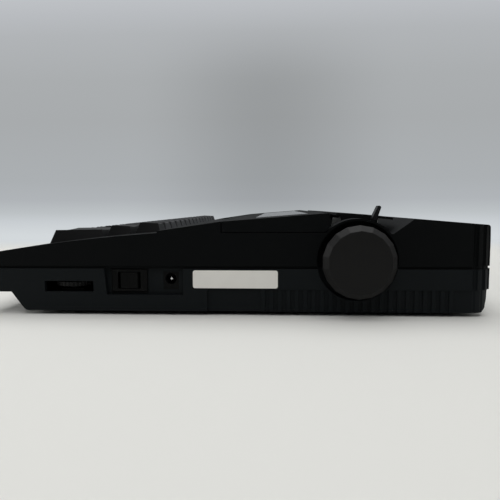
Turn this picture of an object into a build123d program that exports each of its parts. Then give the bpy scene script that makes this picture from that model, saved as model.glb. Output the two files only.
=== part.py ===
from build123d import *
import os
from math import atan2, cos, pi, radians, sin, sqrt, tan

# Portable electronic typewriter: two moulded case halves, a keyboard, and a thermal
# printer with its platen, carriage and paper feed.
# Frame: X to the typist's right, Y from the typist to the rear, Z up from the table.
# All lengths are millimetres, all angles degrees.

os.makedirs("parts", exist_ok=True)

# Case, overall
case_width = 350.0
case_depth = 309.0
knob_reach = 11.5          # the knob's face stands this far outside the right side
foot_height = 2.4
wall = 2.8
case_x = -knob_reach / 2   # the case sits left of the middle, so that the knob fits the box
right_x = case_x + case_width / 2
left_x = case_x - case_width / 2
front_y = -case_depth / 2
rear_y = case_depth / 2
base_z = foot_height
floor_z = base_z + wall

# Seam between the two halves
seam_z = 28.4
seam_gap = 1.6             # height of the shadow gap above the seam
seam_inset = 1.0

# Lower case outline
nose_z = 13.9              # underside of the nose in front of the feet
nose_length = 17.0
nose_slope = 8.5
ledge_z = 15.9             # the side steps in below this
ledge_inset = 1.2
plain_y = rear_y - 170.4   # the ledge starts here and runs to the rear
rear_taper = 4.3
rear_chamfer = 3.3
front_corner_r = 5.0
rear_corner_r = 14.0

# Ribs under the ledge
rib_pitch = 5.03
rib_width = 2.4
rib_height = 0.8
rib_count = 23
rib_end_y = rear_y - 26.0

# Flutes in the rear corners
flute_r = 1.5
flute_count = 4
flute_start = 5.0
flute_step = 23.0

# Upper case outline
nose_top_z = 37.2
bezel_rear_z = 50.0
bezel_crown = 1.4
panel_step = 1.2           # the panel behind the keys stands this much higher
panel_rear_z = 56.8
lid_rear_z = 61.6
lid_land_z = 50.0          # the lid's skirt comes down to this
lid_tail_z = 56.7
deck_front_z = 58.2
deck_rear_z = 54.3
incline_foot_z = 49.4
cheek_z = 58.5
rear_lean = 2.4
cheek_gap = 1.2            # behind the lid, which swings past it

# Stations along the case
platen_y = rear_y - 80.85
platen_z = 33.2
lid_depth = 63.9
lid_rear_y = platen_y - 17.2
lid_front_y = lid_rear_y - lid_depth
lid_tail = 2.0             # slant of the lid's rear end
incline_foot_y = platen_y + 20.8
deck_front_y = platen_y + 32.9

# Keyboard
key_pitch = 19.05
key_units = 15
key_side = 24.0            # right-hand keys to the right side of the case
key_front = 9.3            # front row to the front of the case
key_tilt = 5.7
key_gap = 0.9
key_height = 8.0
key_travel = 3.4
key_top_z = 55.8           # height of the key tops at the rear of the number row
key_rear_y = front_y + key_front + 5 * key_pitch
key_to_panel = 3.9         # rear row to the step up to the panel
panel_front_y = key_rear_y + key_to_panel

# Clearances
running = 0.06             # radial, of a turning shaft
slip = 0.15                # of a sliding piece in its guide
apart = 0.3                # between pieces that pass or lie beside each other

# Printer frame
frame_wall = 2.0
frame_right_x = right_x - 21.0
frame_left_x = left_x + 61.0
inner_left = frame_left_x + frame_wall
inner_right = frame_right_x - frame_wall
opening_left = frame_left_x - 4.0
opening_right = frame_right_x + 2.2
opening_front = lid_front_y + 6.7
opening_rear = incline_foot_y - 1.7

# Platen, knob and cup
platen_r = 13.0
platen_sleeve = 2.0
shaft_r = 4.0
knob_r = 21.5
knob_face_r = 18.0
knob_rim = 7.8             # the knob's widest rim stands this far outside the case
knob_edge = 0.7            # bevel round the face
knob_scallops = 18
cup_r = 23.8
cup_wall = 1.4
cup_depth = 9.0
cup_floor = 2.0

# Side pocket with the switch and the DC inlet
pocket_y = front_y + 75.5
pocket_length = 48.5
pocket_z = 12.3
pocket_depth = 3.2
pocket_slant = 1.5
pocket_back = 2.0
switch_length = 22.2
switch_height = 14.4
switch_y = front_y + 90.5
switch_z = seam_z - 0.2 - switch_height / 2
switch_body_length = 19.0
switch_body_height = 12.4
jack_width = 9.5
jack_height = 10.9
jack_y = front_y + 116.1
jack_z = 20.8

# Density wheel and its slot
wheel_slot_y = front_y + 53.5
wheel_slot_length = 30.4
wheel_slot_z = 14.1
wheel_slot_height = 6.6
wheel_r = 12.0
wheel_thickness = 2.6
wheel_x = right_x - wheel_r - 0.5
wheel_z = 17.3

# Case screws
boss_r = 4.0
screw_r = 1.5
screw_head_r = 3.0
screw_head = 2.0
screw_bite = 8.0
boss_side = 8.5
boss_places = [
    (x, y)
    for x in (left_x + boss_side, right_x - boss_side)
    for y in (rear_y - 176.5, rear_y - 20.0)
]

# Battery bay, at the rear of the lower case
cell_r = 13.1
cell_length = 50.0
cell_count = 4
bay_wall = 1.6
bay_length = cell_count * cell_length + 10.0
bay_width = 2 * cell_r + 1.2
bay_x = case_x - 45.0
bay_y = rear_y - 25.5
bay_top_z = 32.0
door_ledge = 1.5
door_thickness = 1.5

# Feet
foot_r = 6.0
foot_side = 20.0
foot_front = 50.2
foot_rear = 55.5
foot_places = [
    (x, y)
    for x in (left_x + foot_side, right_x - foot_side)
    for y in (front_y + foot_front, rear_y - foot_rear)
]

# Printer stations in the plane across the case
guide_y = platen_y - 38.4
guide_z = 20.0
guide_r = 4.0
pinch_y = platen_y + 23.6
pinch_z = 14.0
pinch_rod_r = 2.0
pinch_roller_r = 4.0
pinch_roller_shaft_r = 1.5
pinch_gap = 0.3
pinch_angle = -60.0
pinch_reach = platen_r + pinch_roller_r + pinch_gap
roller_y = platen_y + pinch_reach * cos(radians(pinch_angle))
roller_z = platen_z + pinch_reach * sin(radians(pinch_angle))
rail_y = guide_y - 13.2
rail_z = 31.0
rail_height = 4.5
rail_thickness = 1.6
frame_front = guide_y - 32.0
frame_rear = pinch_y + 6.0
frame_top_z = lid_land_z - wall - 1.2       # under the lid's landing

# Cover over the platen
cover_front = platen_y - 10.4
cover_rear = platen_y + 24.6
cover_front_z = 61.6
cover_rear_z = 58.7
cover_crown = 0.4
cover_thickness = 1.6
flange_width = 12.0
flange_thickness = 1.6
frame_screw_r = 1.5
frame_screw_bite = 2.0
frame_screw_side = 7.0
frame_screw_y = (frame_front + 12, frame_rear - 30)
frame_screw_places = [
    (x, y)
    for x in (frame_left_x - frame_screw_side, frame_right_x + frame_screw_side)
    for y in frame_screw_y
]
bush_r = 7.0

# Gear train: platen gear, idler and pinion, all of one module
gear_module = 1.0
platen_teeth = 30
idler_teeth = 22
pinion_teeth = 10
gear_slack = 0.2          # added to each centre distance
gear_face = 4.5
gear_x = inner_left + 1.8
idler_angle = 165.0
pinion_angle = 215.0
idler_reach = gear_module * (platen_teeth + idler_teeth) / 2 + gear_slack
idler_y = platen_y + idler_reach * cos(radians(idler_angle))
idler_z = platen_z + idler_reach * sin(radians(idler_angle))
pinion_reach = gear_module * (idler_teeth + pinion_teeth) / 2 + gear_slack
pinion_y = idler_y + pinion_reach * cos(radians(pinion_angle))
pinion_z = idler_z + pinion_reach * sin(radians(pinion_angle))
stud_r = 2.0
pinion_shaft_r = 1.5

# Main board
main_x = case_x - 20.0
main_y = lid_front_y - 20.0
main_length = 190.0
main_width = 34.0
main_z = floor_z + 4.0
main_post_r = 3.0
main_post_side = 4.0

# Plane of the key tops: u runs along X, v to the rear along the columns, w out of the keys
key_block_right = right_x - key_side
key_block_left = key_block_right - key_units * key_pitch
key_plane = Plane(
    origin=(key_block_left, key_rear_y, key_top_z),
    x_dir=(1, 0, 0),
    z_dir=(0, -sin(radians(key_tilt)), cos(radians(key_tilt))),
)
plate_w = -key_height - key_travel - 0.6    # top of the keyboard plate
plate_thickness = 1.5
board_w = plate_w - 9.0                     # top of the switch board
board_thickness = 1.6
stem_side = 5.0
stem_end_w = board_w + key_travel + 0.5


def key_line_z(y, w):
    """Height of the plane at w above the key tops, at a station y along the case."""
    drop = (key_rear_y - y) * tan(radians(key_tilt))
    return key_top_z - drop + w / cos(radians(key_tilt))


def cover_line_z(y):
    """Height of the straight line between the cover's front and rear edges."""
    return cover_front_z + (cover_rear_z - cover_front_z) * (y - cover_front) / (cover_rear - cover_front)


def yz(x):
    """The plane across the case at x, drawn with Y to the right and Z up."""
    return Plane(origin=(x, 0, 0), x_dir=(0, 1, 0), z_dir=(1, 0, 0))


def save(builder, name):
    builder.part.label = name
    export_step(builder.part, f"parts/{name}.step")


def plan_outline(inset):
    """The case in plan, inset from its outside; the rear corners are the larger."""
    with BuildSketch(mode=Mode.PRIVATE) as plan:
        with Locations((case_x, 0)):
            Rectangle(case_width - 2 * inset, case_depth - 2 * inset)
        rear = plan.vertices().group_by(Axis.Y)[-1]
        fillet(rear, rear_corner_r - inset)
        nose = plan.vertices().group_by(Axis.Y)[0]
        fillet(nose, front_corner_r - inset)
    return plan.sketch


def flute_places():
    """Points on both rear corners where the flutes run."""
    places = []
    for side in (-1, 1):
        corner_x = case_x + side * (case_width / 2 - rear_corner_r)
        corner_y = rear_y - rear_corner_r
        for n in range(flute_count):
            turn = radians(flute_start + n * flute_step)
            reach_x = side * rear_corner_r * cos(turn)
            reach_y = rear_corner_r * sin(turn)
            places.append((corner_x + reach_x, corner_y + reach_y))
    return places


# Tools that cut both case halves
with BuildPart() as knob_cup:
    with BuildSketch(yz(right_x - cup_depth - cup_floor)):
        with Locations((platen_y, platen_z)):
            Circle(cup_r + cup_wall)
    extrude(amount=cup_depth + cup_floor)

with BuildPart() as knob_recess:
    with BuildSketch(yz(right_x - cup_depth)):
        with Locations((platen_y, platen_z)):
            Circle(cup_r)
    extrude(amount=cup_depth + 10)
    with BuildSketch(yz(right_x - cup_depth - 2 * cup_floor)):
        with Locations((platen_y, platen_z)):
            Circle(shaft_r + 1.0)
    extrude(amount=3 * cup_floor)

with BuildPart() as corner_flutes:
    with BuildSketch(Plane.XY):
        with Locations(*flute_places()):
            Circle(flute_r)
    extrude(amount=lid_rear_z + 10)


# Lower case
with BuildPart() as lower_cavity:
    with BuildSketch(yz(left_x)):
        with BuildLine():
            Polyline(
                (front_y + wall, seam_z + 5),
                (front_y + wall, nose_z + wall),
                (front_y + nose_length + wall, nose_z + wall),
                (front_y + nose_length + nose_slope + wall * 0.8, floor_z),
                (rear_y - rear_taper - rear_chamfer - wall * 0.6, floor_z),
                (rear_y - rear_taper - wall, base_z + 4.6),
                (rear_y - wall - 2.4, ledge_z),
                (rear_y - wall - 0.4, seam_z + 5),
                close=True,
            )
        make_face()
    extrude(amount=case_width)
    with BuildSketch(Plane.XY):
        add(plan_outline(wall))
    extrude(amount=seam_z + 10, mode=Mode.INTERSECT)

with BuildPart() as lower_case:
    with BuildSketch(yz(left_x)) as side_profile:
        with BuildLine():
            Polyline(
                (front_y, seam_z + 5),
                (front_y + 0.9, nose_z),
                (front_y + nose_length, nose_z),
                (front_y + nose_length + nose_slope, base_z),
                (rear_y - rear_taper - rear_chamfer, base_z),
                (rear_y - rear_taper, base_z + 3.0),
                (rear_y - 2.4, ledge_z - 0.9),
                (rear_y - 1.3, ledge_z),
                (rear_y - 0.4, seam_z + 5),
                close=True,
            )
        make_face()
        bends = side_profile.vertices().sort_by(Axis.X)
        fillet(bends[1], 2.0)
        fillet(side_profile.vertices().group_by(Axis.Y)[0].sort_by(Axis.X)[0], 4.0)
    extrude(amount=case_width)
    with BuildSketch(Plane.XY):
        add(plan_outline(0))
    extrude(amount=seam_z + 10, mode=Mode.INTERSECT)
    add(lower_cavity.part, mode=Mode.SUBTRACT)
    add(knob_cup.part)
    # the pocket's back wall
    with BuildSketch(yz(right_x - pocket_depth - pocket_back)):
        with Locations((pocket_y + pocket_length / 2, (pocket_z - 2 + seam_z) / 2)):
            Rectangle(pocket_length + 4, seam_z - pocket_z + 2)
    extrude(amount=pocket_depth)
    split(bisect_by=Plane.XY.offset(seam_z), keep=Keep.BOTTOM)
    # the side steps in below the ledge, behind the plain stretch
    with BuildSketch(Plane.XY):
        add(plan_outline(-3))
        add(plan_outline(ledge_inset), mode=Mode.SUBTRACT)
        with Locations((case_x, front_y - 5)):
            Rectangle(
                case_width + 20,
                plain_y - front_y + 5,
                align=(Align.CENTER, Align.MIN),
                mode=Mode.SUBTRACT,
            )
    extrude(amount=ledge_z, mode=Mode.SUBTRACT)
    for side in (-1, 1):
        face_x = case_x + side * (case_width / 2 - ledge_inset)
        with BuildSketch(Plane.XY.offset(base_z)):
            with Locations(*[(face_x, rib_end_y - n * rib_pitch) for n in range(rib_count)]):
                Rectangle(2 * rib_height, rib_width)
        extrude(amount=ledge_z - base_z)
    add(knob_recess.part, mode=Mode.SUBTRACT)
    add(corner_flutes.part, mode=Mode.SUBTRACT)
    # side pocket, with openings for the switch and the inlet
    with BuildSketch(yz(right_x - pocket_depth)):
        with BuildLine():
            Polyline(
                (pocket_y, seam_z),
                (pocket_y + pocket_slant, pocket_z),
                (pocket_y + pocket_length, pocket_z),
                (pocket_y + pocket_length, seam_z),
                close=True,
            )
        make_face()
    extrude(amount=pocket_depth, mode=Mode.SUBTRACT)
    with BuildSketch(yz(right_x - pocket_depth - pocket_back)):
        with Locations((switch_y, switch_z)):
            Rectangle(switch_body_length + 2 * slip, switch_body_height + 2 * slip)
        with Locations((jack_y, jack_z)):
            Rectangle(jack_width, jack_height)
    extrude(amount=pocket_back, mode=Mode.SUBTRACT)
    # density wheel slot
    with BuildSketch(yz(right_x - wall)):
        with Locations((wheel_slot_y, wheel_slot_z + wheel_slot_height / 2)):
            Rectangle(wheel_slot_length, wheel_slot_height)
    extrude(amount=wall, mode=Mode.SUBTRACT)
    # screw bosses
    with BuildSketch(Plane.XY.offset(base_z + 1)):
        with Locations(*boss_places):
            Circle(boss_r)
    extrude(amount=seam_z - base_z - 1)
    with BuildSketch(Plane.XY.offset(base_z)):
        with Locations(*boss_places):
            Circle(screw_r + apart)
    extrude(amount=seam_z, mode=Mode.SUBTRACT)
    with BuildSketch(Plane.XY):
        with Locations(*boss_places):
            Circle(screw_head_r + apart)
    extrude(amount=base_z + screw_head + 0.4, mode=Mode.SUBTRACT)
    # battery bay
    with BuildSketch(Plane.XY.offset(floor_z)):
        with Locations((bay_x, bay_y)):
            Rectangle(bay_length + 2 * bay_wall, bay_width + 2 * bay_wall)
            Rectangle(bay_length, bay_width, mode=Mode.SUBTRACT)
    extrude(amount=bay_top_z - floor_z)
    with BuildSketch(Plane.XY.offset(bay_top_z)):
        with Locations((bay_x, bay_y)):
            Rectangle(bay_length + 2 * bay_wall, bay_width + 2 * bay_wall)
    extrude(amount=bay_wall)
    with BuildSketch(Plane.XY):
        with Locations((bay_x, bay_y)):
            Rectangle(bay_length - 2, bay_width - 2)
    extrude(amount=floor_z, mode=Mode.SUBTRACT)
    with BuildSketch(Plane.XY):
        with Locations((bay_x, bay_y)):
            Rectangle(bay_length - 2 + 2 * door_ledge, bay_width - 2 + 2 * door_ledge)
    extrude(amount=base_z + door_thickness, mode=Mode.SUBTRACT)
    # ribs that carry the switch board
    board_under = board_w - board_thickness
    rib_rear_y = key_rear_y - 5.0
    for n in range(4):
        rib_x = key_block_left + key_pitch * (1.5 + 4 * n)
        with BuildSketch(yz(rib_x - 1)):
            with BuildLine():
                Polyline(
                    (front_y + 8, nose_z + 1),
                    (front_y + nose_length + 1.5, nose_z + 1),
                    (front_y + nose_length + nose_slope + 1.5, base_z + 1),
                    (rib_rear_y, base_z + 1),
                    (rib_rear_y, key_line_z(rib_rear_y, board_under)),
                    (front_y + 8, key_line_z(front_y + 8, board_under)),
                    close=True,
                )
            make_face()
        extrude(amount=2)
    # posts for the main board, and holes for the printer frame's screws
    with BuildSketch(Plane.XY.offset(floor_z)):
        with Locations((main_x, main_y)):
            with GridLocations(
                main_length - 2 * main_post_side, main_width - 2 * main_post_side, 2, 2
            ):
                Circle(main_post_r)
    extrude(amount=main_z - floor_z)
    with BuildSketch(Plane.XY.offset(floor_z - frame_screw_bite)):
        with Locations(*frame_screw_places):
            Circle(frame_screw_r)
    extrude(amount=frame_screw_bite, mode=Mode.SUBTRACT)
save(lower_case, "lower_case")


# Upper case

def top_outline(filled, inset):
    """Side outline of the upper case; filled has the left cheek beside the printer."""
    bezel_run = panel_front_y - front_y
    bezel_rise = bezel_rear_z - nose_top_z
    middle = (front_y + bezel_run / 2, nose_top_z + bezel_rise / 2 + bezel_crown)
    if filled:
        valley = [
            (lid_rear_y + lid_tail + cheek_gap, lid_land_z),
            (lid_rear_y + lid_tail + cheek_gap, cheek_z),
        ]
    else:
        valley = [
            (lid_rear_y + lid_tail, lid_land_z),
            (incline_foot_y, incline_foot_z),
        ]
    with BuildSketch(mode=Mode.PRIVATE) as outline:
        with BuildLine():
            ThreePointArc((front_y, nose_top_z), middle, (panel_front_y, bezel_rear_z))
            Polyline(
                (panel_front_y, bezel_rear_z),
                (panel_front_y, bezel_rear_z + panel_step),
                (lid_front_y, panel_rear_z),
                (lid_front_y, lid_land_z),
                *valley,
                (deck_front_y, deck_front_z),
                (rear_y - rear_lean, deck_rear_z),
                (rear_y, seam_z),
                (rear_y, -20),
                (front_y, -20),
                (front_y, nose_top_z),
            )
        make_face()
        corners = outline.vertices()
        fillet(corners.sort_by_distance((front_y, nose_top_z))[0], 3.0)
        corners = outline.vertices()
        fillet(corners.sort_by_distance((rear_y - rear_lean, deck_rear_z))[0], 1.5)
        if inset:
            offset(amount=-inset, kind=Kind.INTERSECTION, mode=Mode.REPLACE)
    return outline.sketch


with BuildPart() as upper_outer:
    with BuildSketch(yz(left_x)):
        add(top_outline(False, 0))
    extrude(amount=case_width)
    with BuildSketch(yz(left_x)):
        add(top_outline(True, 0))
    extrude(amount=opening_left - left_x)
    with BuildSketch(Plane.XY):
        add(plan_outline(0))
    extrude(amount=lid_rear_z + 10, mode=Mode.INTERSECT)

with BuildPart() as upper_cavity:
    with BuildSketch(yz(left_x)):
        add(top_outline(False, wall))
    extrude(amount=case_width)
    with BuildSketch(yz(left_x)):
        add(top_outline(True, wall))
    extrude(amount=opening_left - left_x - wall)
    with BuildSketch(Plane.XY):
        add(plan_outline(wall))
    extrude(amount=lid_rear_z + 10, mode=Mode.INTERSECT)

with BuildPart() as upper_bosses:
    with BuildSketch(Plane.XY.offset(seam_z)):
        with Locations(*boss_places):
            Circle(boss_r)
    extrude(amount=lid_rear_z)
    add(upper_outer.part, mode=Mode.INTERSECT)

# The panel behind the keys, as a plane that the display is set into
panel_run = lid_front_y - panel_front_y
panel_lean = atan2(panel_rear_z - bezel_rear_z - panel_step, panel_run)
display_x = case_x - 40.0
display_length = 116.0
display_share = 0.544      # of the panel's run, between the keys and the lid
display_width = display_share * panel_run
display_flange = 0.15 * panel_run / 2
display_rim = 2.2
display_glass_thickness = 2.0
display_sunk = 0.8
display_plane = Plane(
    origin=(
        display_x,
        panel_front_y + panel_run / 2,
        (bezel_rear_z + panel_step + panel_rear_z) / 2,
    ),
    x_dir=(1, 0, 0),
    z_dir=(0, -sin(panel_lean), cos(panel_lean)),
)

# Lid hinge: lugs on the case landing, ears under the lid, a pin through both
hinge_y = lid_rear_y - 2.6
hinge_z = lid_tail_z + 0.1
hinge_r = 1.9
hinge_pin_r = 1.0
lug_side = 6.0             # lug to the outside of the case
lug_thickness = 3.0
ear_thickness = 3.5

with BuildPart() as upper_case:
    add(upper_outer.part)
    add(upper_cavity.part, mode=Mode.SUBTRACT)
    add(upper_bosses.part)
    add(knob_cup.part)
    split(bisect_by=Plane.XY.offset(seam_z), keep=Keep.TOP)
    # shadow gap along the seam
    with BuildSketch(Plane.XY.offset(seam_z)):
        add(plan_outline(-3))
        add(plan_outline(seam_inset), mode=Mode.SUBTRACT)
    extrude(amount=seam_gap, mode=Mode.SUBTRACT)
    add(knob_recess.part, mode=Mode.SUBTRACT)
    add(corner_flutes.part, mode=Mode.SUBTRACT)
    # key well: all rows at full width, but only the middle of the front row
    with BuildSketch(Plane.XY.offset(seam_z + 2)):
        with BuildLine():
            Polyline(
                (key_block_left - 0.8, key_rear_y + 0.6),
                (key_block_left - 0.8, key_rear_y - 4 * key_pitch - 0.3),
                (key_block_left + 1.75 * key_pitch - 0.8, key_rear_y - 4 * key_pitch - 0.3),
                (key_block_left + 1.75 * key_pitch - 0.8, key_rear_y - 5 * key_pitch - 0.3),
                (key_block_left + 12.75 * key_pitch + 0.8, key_rear_y - 5 * key_pitch - 0.3),
                (key_block_left + 12.75 * key_pitch + 0.8, key_rear_y - 4 * key_pitch - 0.3),
                (key_block_right + 0.8, key_rear_y - 4 * key_pitch - 0.3),
                (key_block_right + 0.8, key_rear_y + 0.6),
                close=True,
            )
        make_face()
    extrude(amount=40, mode=Mode.SUBTRACT)
    # printer opening, with the slot that the paper release lever comes up through
    with BuildSketch(Plane.XY.offset(lid_land_z - 2 * wall)):
        with BuildLine():
            Polyline(
                (opening_left, opening_front),
                (opening_right, opening_front),
                (opening_right, platen_y - 8),
                (opening_right + 4.5, platen_y - 8),
                (opening_right + 4.5, opening_rear),
                (opening_left, opening_rear),
                close=True,
            )
        make_face()
    extrude(amount=30, mode=Mode.SUBTRACT)
    # display opening
    with BuildSketch(display_plane.offset(-2 * wall)):
        Rectangle(display_length + 2 * slip, display_width + 2 * slip)
    extrude(amount=3 * wall, mode=Mode.SUBTRACT)
    # lid hinge lugs on the landing
    for side in (-1, 1):
        lug_x = case_x + side * (case_width / 2 - lug_side - lug_thickness / 2)
        with BuildSketch(yz(lug_x - lug_thickness / 2)):
            with BuildLine():
                Polyline(
                    (hinge_y + hinge_r, hinge_z),
                    (hinge_y + hinge_r, lid_land_z - 1),
                    (hinge_y - hinge_r, lid_land_z - 1),
                    (hinge_y - hinge_r, hinge_z),
                )
                ThreePointArc(
                    (hinge_y - hinge_r, hinge_z),
                    (hinge_y, hinge_z + hinge_r),
                    (hinge_y + hinge_r, hinge_z),
                )
            make_face()
            with Locations((hinge_y, hinge_z)):
                Circle(hinge_pin_r, mode=Mode.SUBTRACT)
        extrude(amount=lug_thickness)
    # screw holes
    with BuildSketch(Plane.XY.offset(seam_z)):
        with Locations(*boss_places):
            Circle(screw_r)
    extrude(amount=screw_bite, mode=Mode.SUBTRACT)
save(upper_case, "upper_case")


# Feet and case screws
with BuildPart() as rubber_feet:
    with BuildSketch(Plane.XY):
        with Locations(*foot_places):
            Circle(foot_r)
    extrude(amount=foot_height)
    chamfer(rubber_feet.edges().group_by(Axis.Z)[0], 0.6)
save(rubber_feet, "rubber_feet")

with BuildPart() as case_screws:
    with BuildSketch(Plane.XY.offset(base_z + 0.4)):
        with Locations(*boss_places):
            Circle(screw_head_r)
    extrude(amount=screw_head)
    with BuildSketch(Plane.XY.offset(base_z + 0.4 + screw_head)):
        with Locations(*boss_places):
            Circle(screw_r)
    extrude(amount=seam_z + screw_bite - base_z - 0.4 - screw_head)
    with BuildSketch(Plane.XY.offset(base_z + 0.4)):
        with Locations(*boss_places):
            Rectangle(2.4, 0.6)
            Rectangle(0.6, 2.4)
    extrude(amount=1.2, mode=Mode.SUBTRACT)
save(case_screws, "case_screws")


# Battery door and contacts
with BuildPart() as battery_door:
    door_length = bay_length - 2 + 2 * door_ledge - 2 * apart
    door_width = bay_width - 2 + 2 * door_ledge - 2 * apart
    with BuildSketch(Plane.XY.offset(base_z)):
        with Locations((bay_x, bay_y)):
            Rectangle(door_length, door_width)
    extrude(amount=door_thickness)
    # grip ridges
    with BuildSketch(Plane.XY.offset(base_z)):
        with Locations((bay_x, bay_y)):
            with GridLocations(3, 0, 6, 1):
                Rectangle(1.2, 12)
    extrude(amount=0.5, mode=Mode.SUBTRACT)
save(battery_door, "battery_door")

with BuildPart() as battery_contacts:
    contact_thickness = 0.5
    for side in (-1, 1):
        end_x = bay_x + side * (bay_length - contact_thickness) / 2
        with BuildSketch(Plane.XY.offset(floor_z)):
            with Locations((end_x, bay_y)):
                Rectangle(contact_thickness, 18)
        extrude(amount=22)
        with BuildSketch(yz(end_x)):
            with Locations((bay_y, floor_z + cell_r)):
                Circle(4.0)
        extrude(amount=-side * 2.0)
save(battery_contacts, "battery_contacts")


# Power switch and its rocker; the rocker turns on a pin along Z
rocker_length = 13.3
rocker_height = 9.7
rocker_pin_r = 1.2
switch_face_x = right_x - pocket_depth + 1.5
rocker_axis_x = switch_face_x - 4.0
rocker_r = rocker_length / 2
switch_depth = 15.0

with BuildPart() as power_switch:
    with BuildSketch(yz(right_x - pocket_depth)):
        with Locations((switch_y, switch_z)):
            Rectangle(switch_length, switch_height)
    extrude(amount=1.5)
    with BuildSketch(yz(right_x - pocket_depth - switch_depth)):
        with Locations((switch_y, switch_z)):
            Rectangle(switch_body_length, switch_body_height)
    extrude(amount=switch_depth)
    chamfer(power_switch.faces().sort_by(Axis.X)[-1].edges(), 0.5)
    with BuildSketch(yz(rocker_axis_x - rocker_r - 0.8)):
        with Locations((switch_y, switch_z)):
            Rectangle(rocker_length + 0.6, rocker_height + 2 * apart)
    extrude(amount=rocker_r + 10, mode=Mode.SUBTRACT)
    with BuildSketch(Plane.XY.offset(switch_z - switch_body_height / 2 + 0.4)):
        with Locations((rocker_axis_x, switch_y)):
            Circle(rocker_pin_r + running)
    extrude(amount=switch_body_height - 0.8, mode=Mode.SUBTRACT)
    # solder tags
    with BuildSketch(yz(right_x - pocket_depth - switch_depth - 4.0)):
        with Locations((switch_y, switch_z)):
            with GridLocations(7, 1, 2, 1):
                Rectangle(0.8, 4.0)
    extrude(amount=4.0)
save(power_switch, "power_switch")

with BuildPart() as power_rocker:
    with BuildSketch(Plane.XY.offset(switch_z - rocker_height / 2)):
        with Locations((rocker_axis_x, switch_y)):
            Circle(rocker_r)
        with BuildLine():
            Polyline(
                (rocker_axis_x - rocker_r - 1, switch_y + rocker_r + 1),
                (rocker_axis_x - rocker_r - 1, switch_y - rocker_r - 1),
                (rocker_axis_x + 4.6, switch_y - rocker_r - 1),
                (rocker_axis_x + 3.7, switch_y),
                (rocker_axis_x + 4.6, switch_y + rocker_r + 1),
                close=True,
            )
        make_face(mode=Mode.INTERSECT)
    extrude(amount=rocker_height)
    with BuildSketch(Plane.XY.offset(switch_z - switch_body_height / 2 + 0.5)):
        with Locations((rocker_axis_x, switch_y)):
            Circle(rocker_pin_r)
    extrude(amount=switch_body_height - 1.0)
save(power_rocker, "power_rocker")


# DC inlet and its centre pin
jack_depth = 13.0
jack_bore_r = 3.2
jack_pin_r = 1.05
jack_bore = 9.0
with BuildPart() as dc_inlet:
    with BuildSketch(yz(right_x - pocket_depth - jack_depth)):
        with Locations((jack_y, jack_z)):
            Rectangle(jack_width, jack_height)
    extrude(amount=jack_depth)
    with BuildSketch(yz(right_x - pocket_depth - jack_bore)):
        with Locations((jack_y, jack_z + 1.1)):
            Circle(jack_bore_r)
    extrude(amount=jack_bore, mode=Mode.SUBTRACT)
    chamfer(
        dc_inlet.edges().filter_by(GeomType.CIRCLE).sort_by(Axis.X)[-1],
        0.4,
    )
    # solder tags
    with BuildSketch(yz(right_x - pocket_depth - jack_depth - 3.5)):
        with Locations((jack_y, jack_z)):
            with GridLocations(5, 1, 2, 1):
                Rectangle(0.8, 2.6)
    extrude(amount=3.5)
save(dc_inlet, "dc_inlet")

with BuildPart() as dc_pin:
    with BuildSketch(yz(right_x - pocket_depth - jack_bore)):
        with Locations((jack_y, jack_z + 1.1)):
            Circle(jack_pin_r)
    extrude(amount=jack_bore - 1.2)
    fillet(dc_pin.edges().sort_by(Axis.X)[-1], 0.6)
save(dc_pin, "dc_pin")


# Density control: a block with a spindle, and the thumbwheel that turns on it
spindle_r = 3.0
wheel_notches = 30
with BuildPart() as density_control:
    with BuildSketch(Plane.XY.offset(floor_z)):
        with Locations((wheel_x, wheel_slot_y)):
            Rectangle(14, 14)
    extrude(amount=wheel_z - floor_z - 2.0)
    with BuildSketch(Plane.XY.offset(wheel_z - 2.0)):
        with Locations((wheel_x, wheel_slot_y)):
            Circle(spindle_r + 2)
    extrude(amount=2.0 - slip)
    with BuildSketch(Plane.XY.offset(wheel_z - slip)):
        with Locations((wheel_x, wheel_slot_y)):
            Circle(spindle_r)
    extrude(amount=wheel_thickness + slip + 0.4)
save(density_control, "density_control")

with BuildPart() as density_wheel:
    with BuildSketch(Plane.XY.offset(wheel_z)):
        with Locations((wheel_x, wheel_slot_y)):
            Circle(wheel_r)
            Circle(spindle_r + running, mode=Mode.SUBTRACT)
            with PolarLocations(wheel_r, wheel_notches):
                Circle(0.5, mode=Mode.SUBTRACT)
    extrude(amount=wheel_thickness)
save(density_wheel, "density_wheel")


# Keyboard

def key_cap(units, rows=1, lift=1.2, drop=0.55, lower=0.0):
    """A key of so many units and rows: tapered cap, tilted and dished top, stem."""
    width = units * key_pitch - key_gap
    depth = rows * key_pitch - key_gap
    front_slope = 4.9
    rear_slope = 1.4
    side_slope = 2.6
    top_width = width - 2 * side_slope
    top_depth = depth - front_slope - rear_slope
    tilt = atan2(lift + drop, top_depth)
    crown = Plane(
        origin=(0, (front_slope - rear_slope) / 2, (lift - drop) / 2 - lower),
        x_dir=(1, 0, 0),
        z_dir=(0, sin(tilt), cos(tilt)),
    )
    dish_depth = 0.7
    dish_r = top_width ** 2 / (8 * dish_depth) + dish_depth / 2
    dish = Plane(
        origin=crown.origin + crown.z_dir * (dish_r - dish_depth) - crown.y_dir * depth,
        x_dir=(1, 0, 0),
        z_dir=tuple(crown.y_dir),
    )
    with BuildPart(mode=Mode.PRIVATE) as cap:
        with BuildSketch(Plane.XY.offset(-key_height)):
            Rectangle(width, depth)
        with BuildSketch(crown):
            Rectangle(top_width, top_depth)
        loft()
        with BuildSketch(dish):
            Circle(dish_r)
        extrude(amount=2 * depth, mode=Mode.SUBTRACT)
        with BuildSketch(Plane.XY.offset(stem_end_w)):
            Rectangle(stem_side, stem_side)
        extrude(amount=-key_height - stem_end_w)
    return cap.part


def seated(cap, centre_units, row):
    """The key placed on the key plane, its middle so many units from the left."""
    place = Location((centre_units * key_pitch, -(row - 0.5) * key_pitch, 0))
    return cap.moved(key_plane.location * place)


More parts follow.
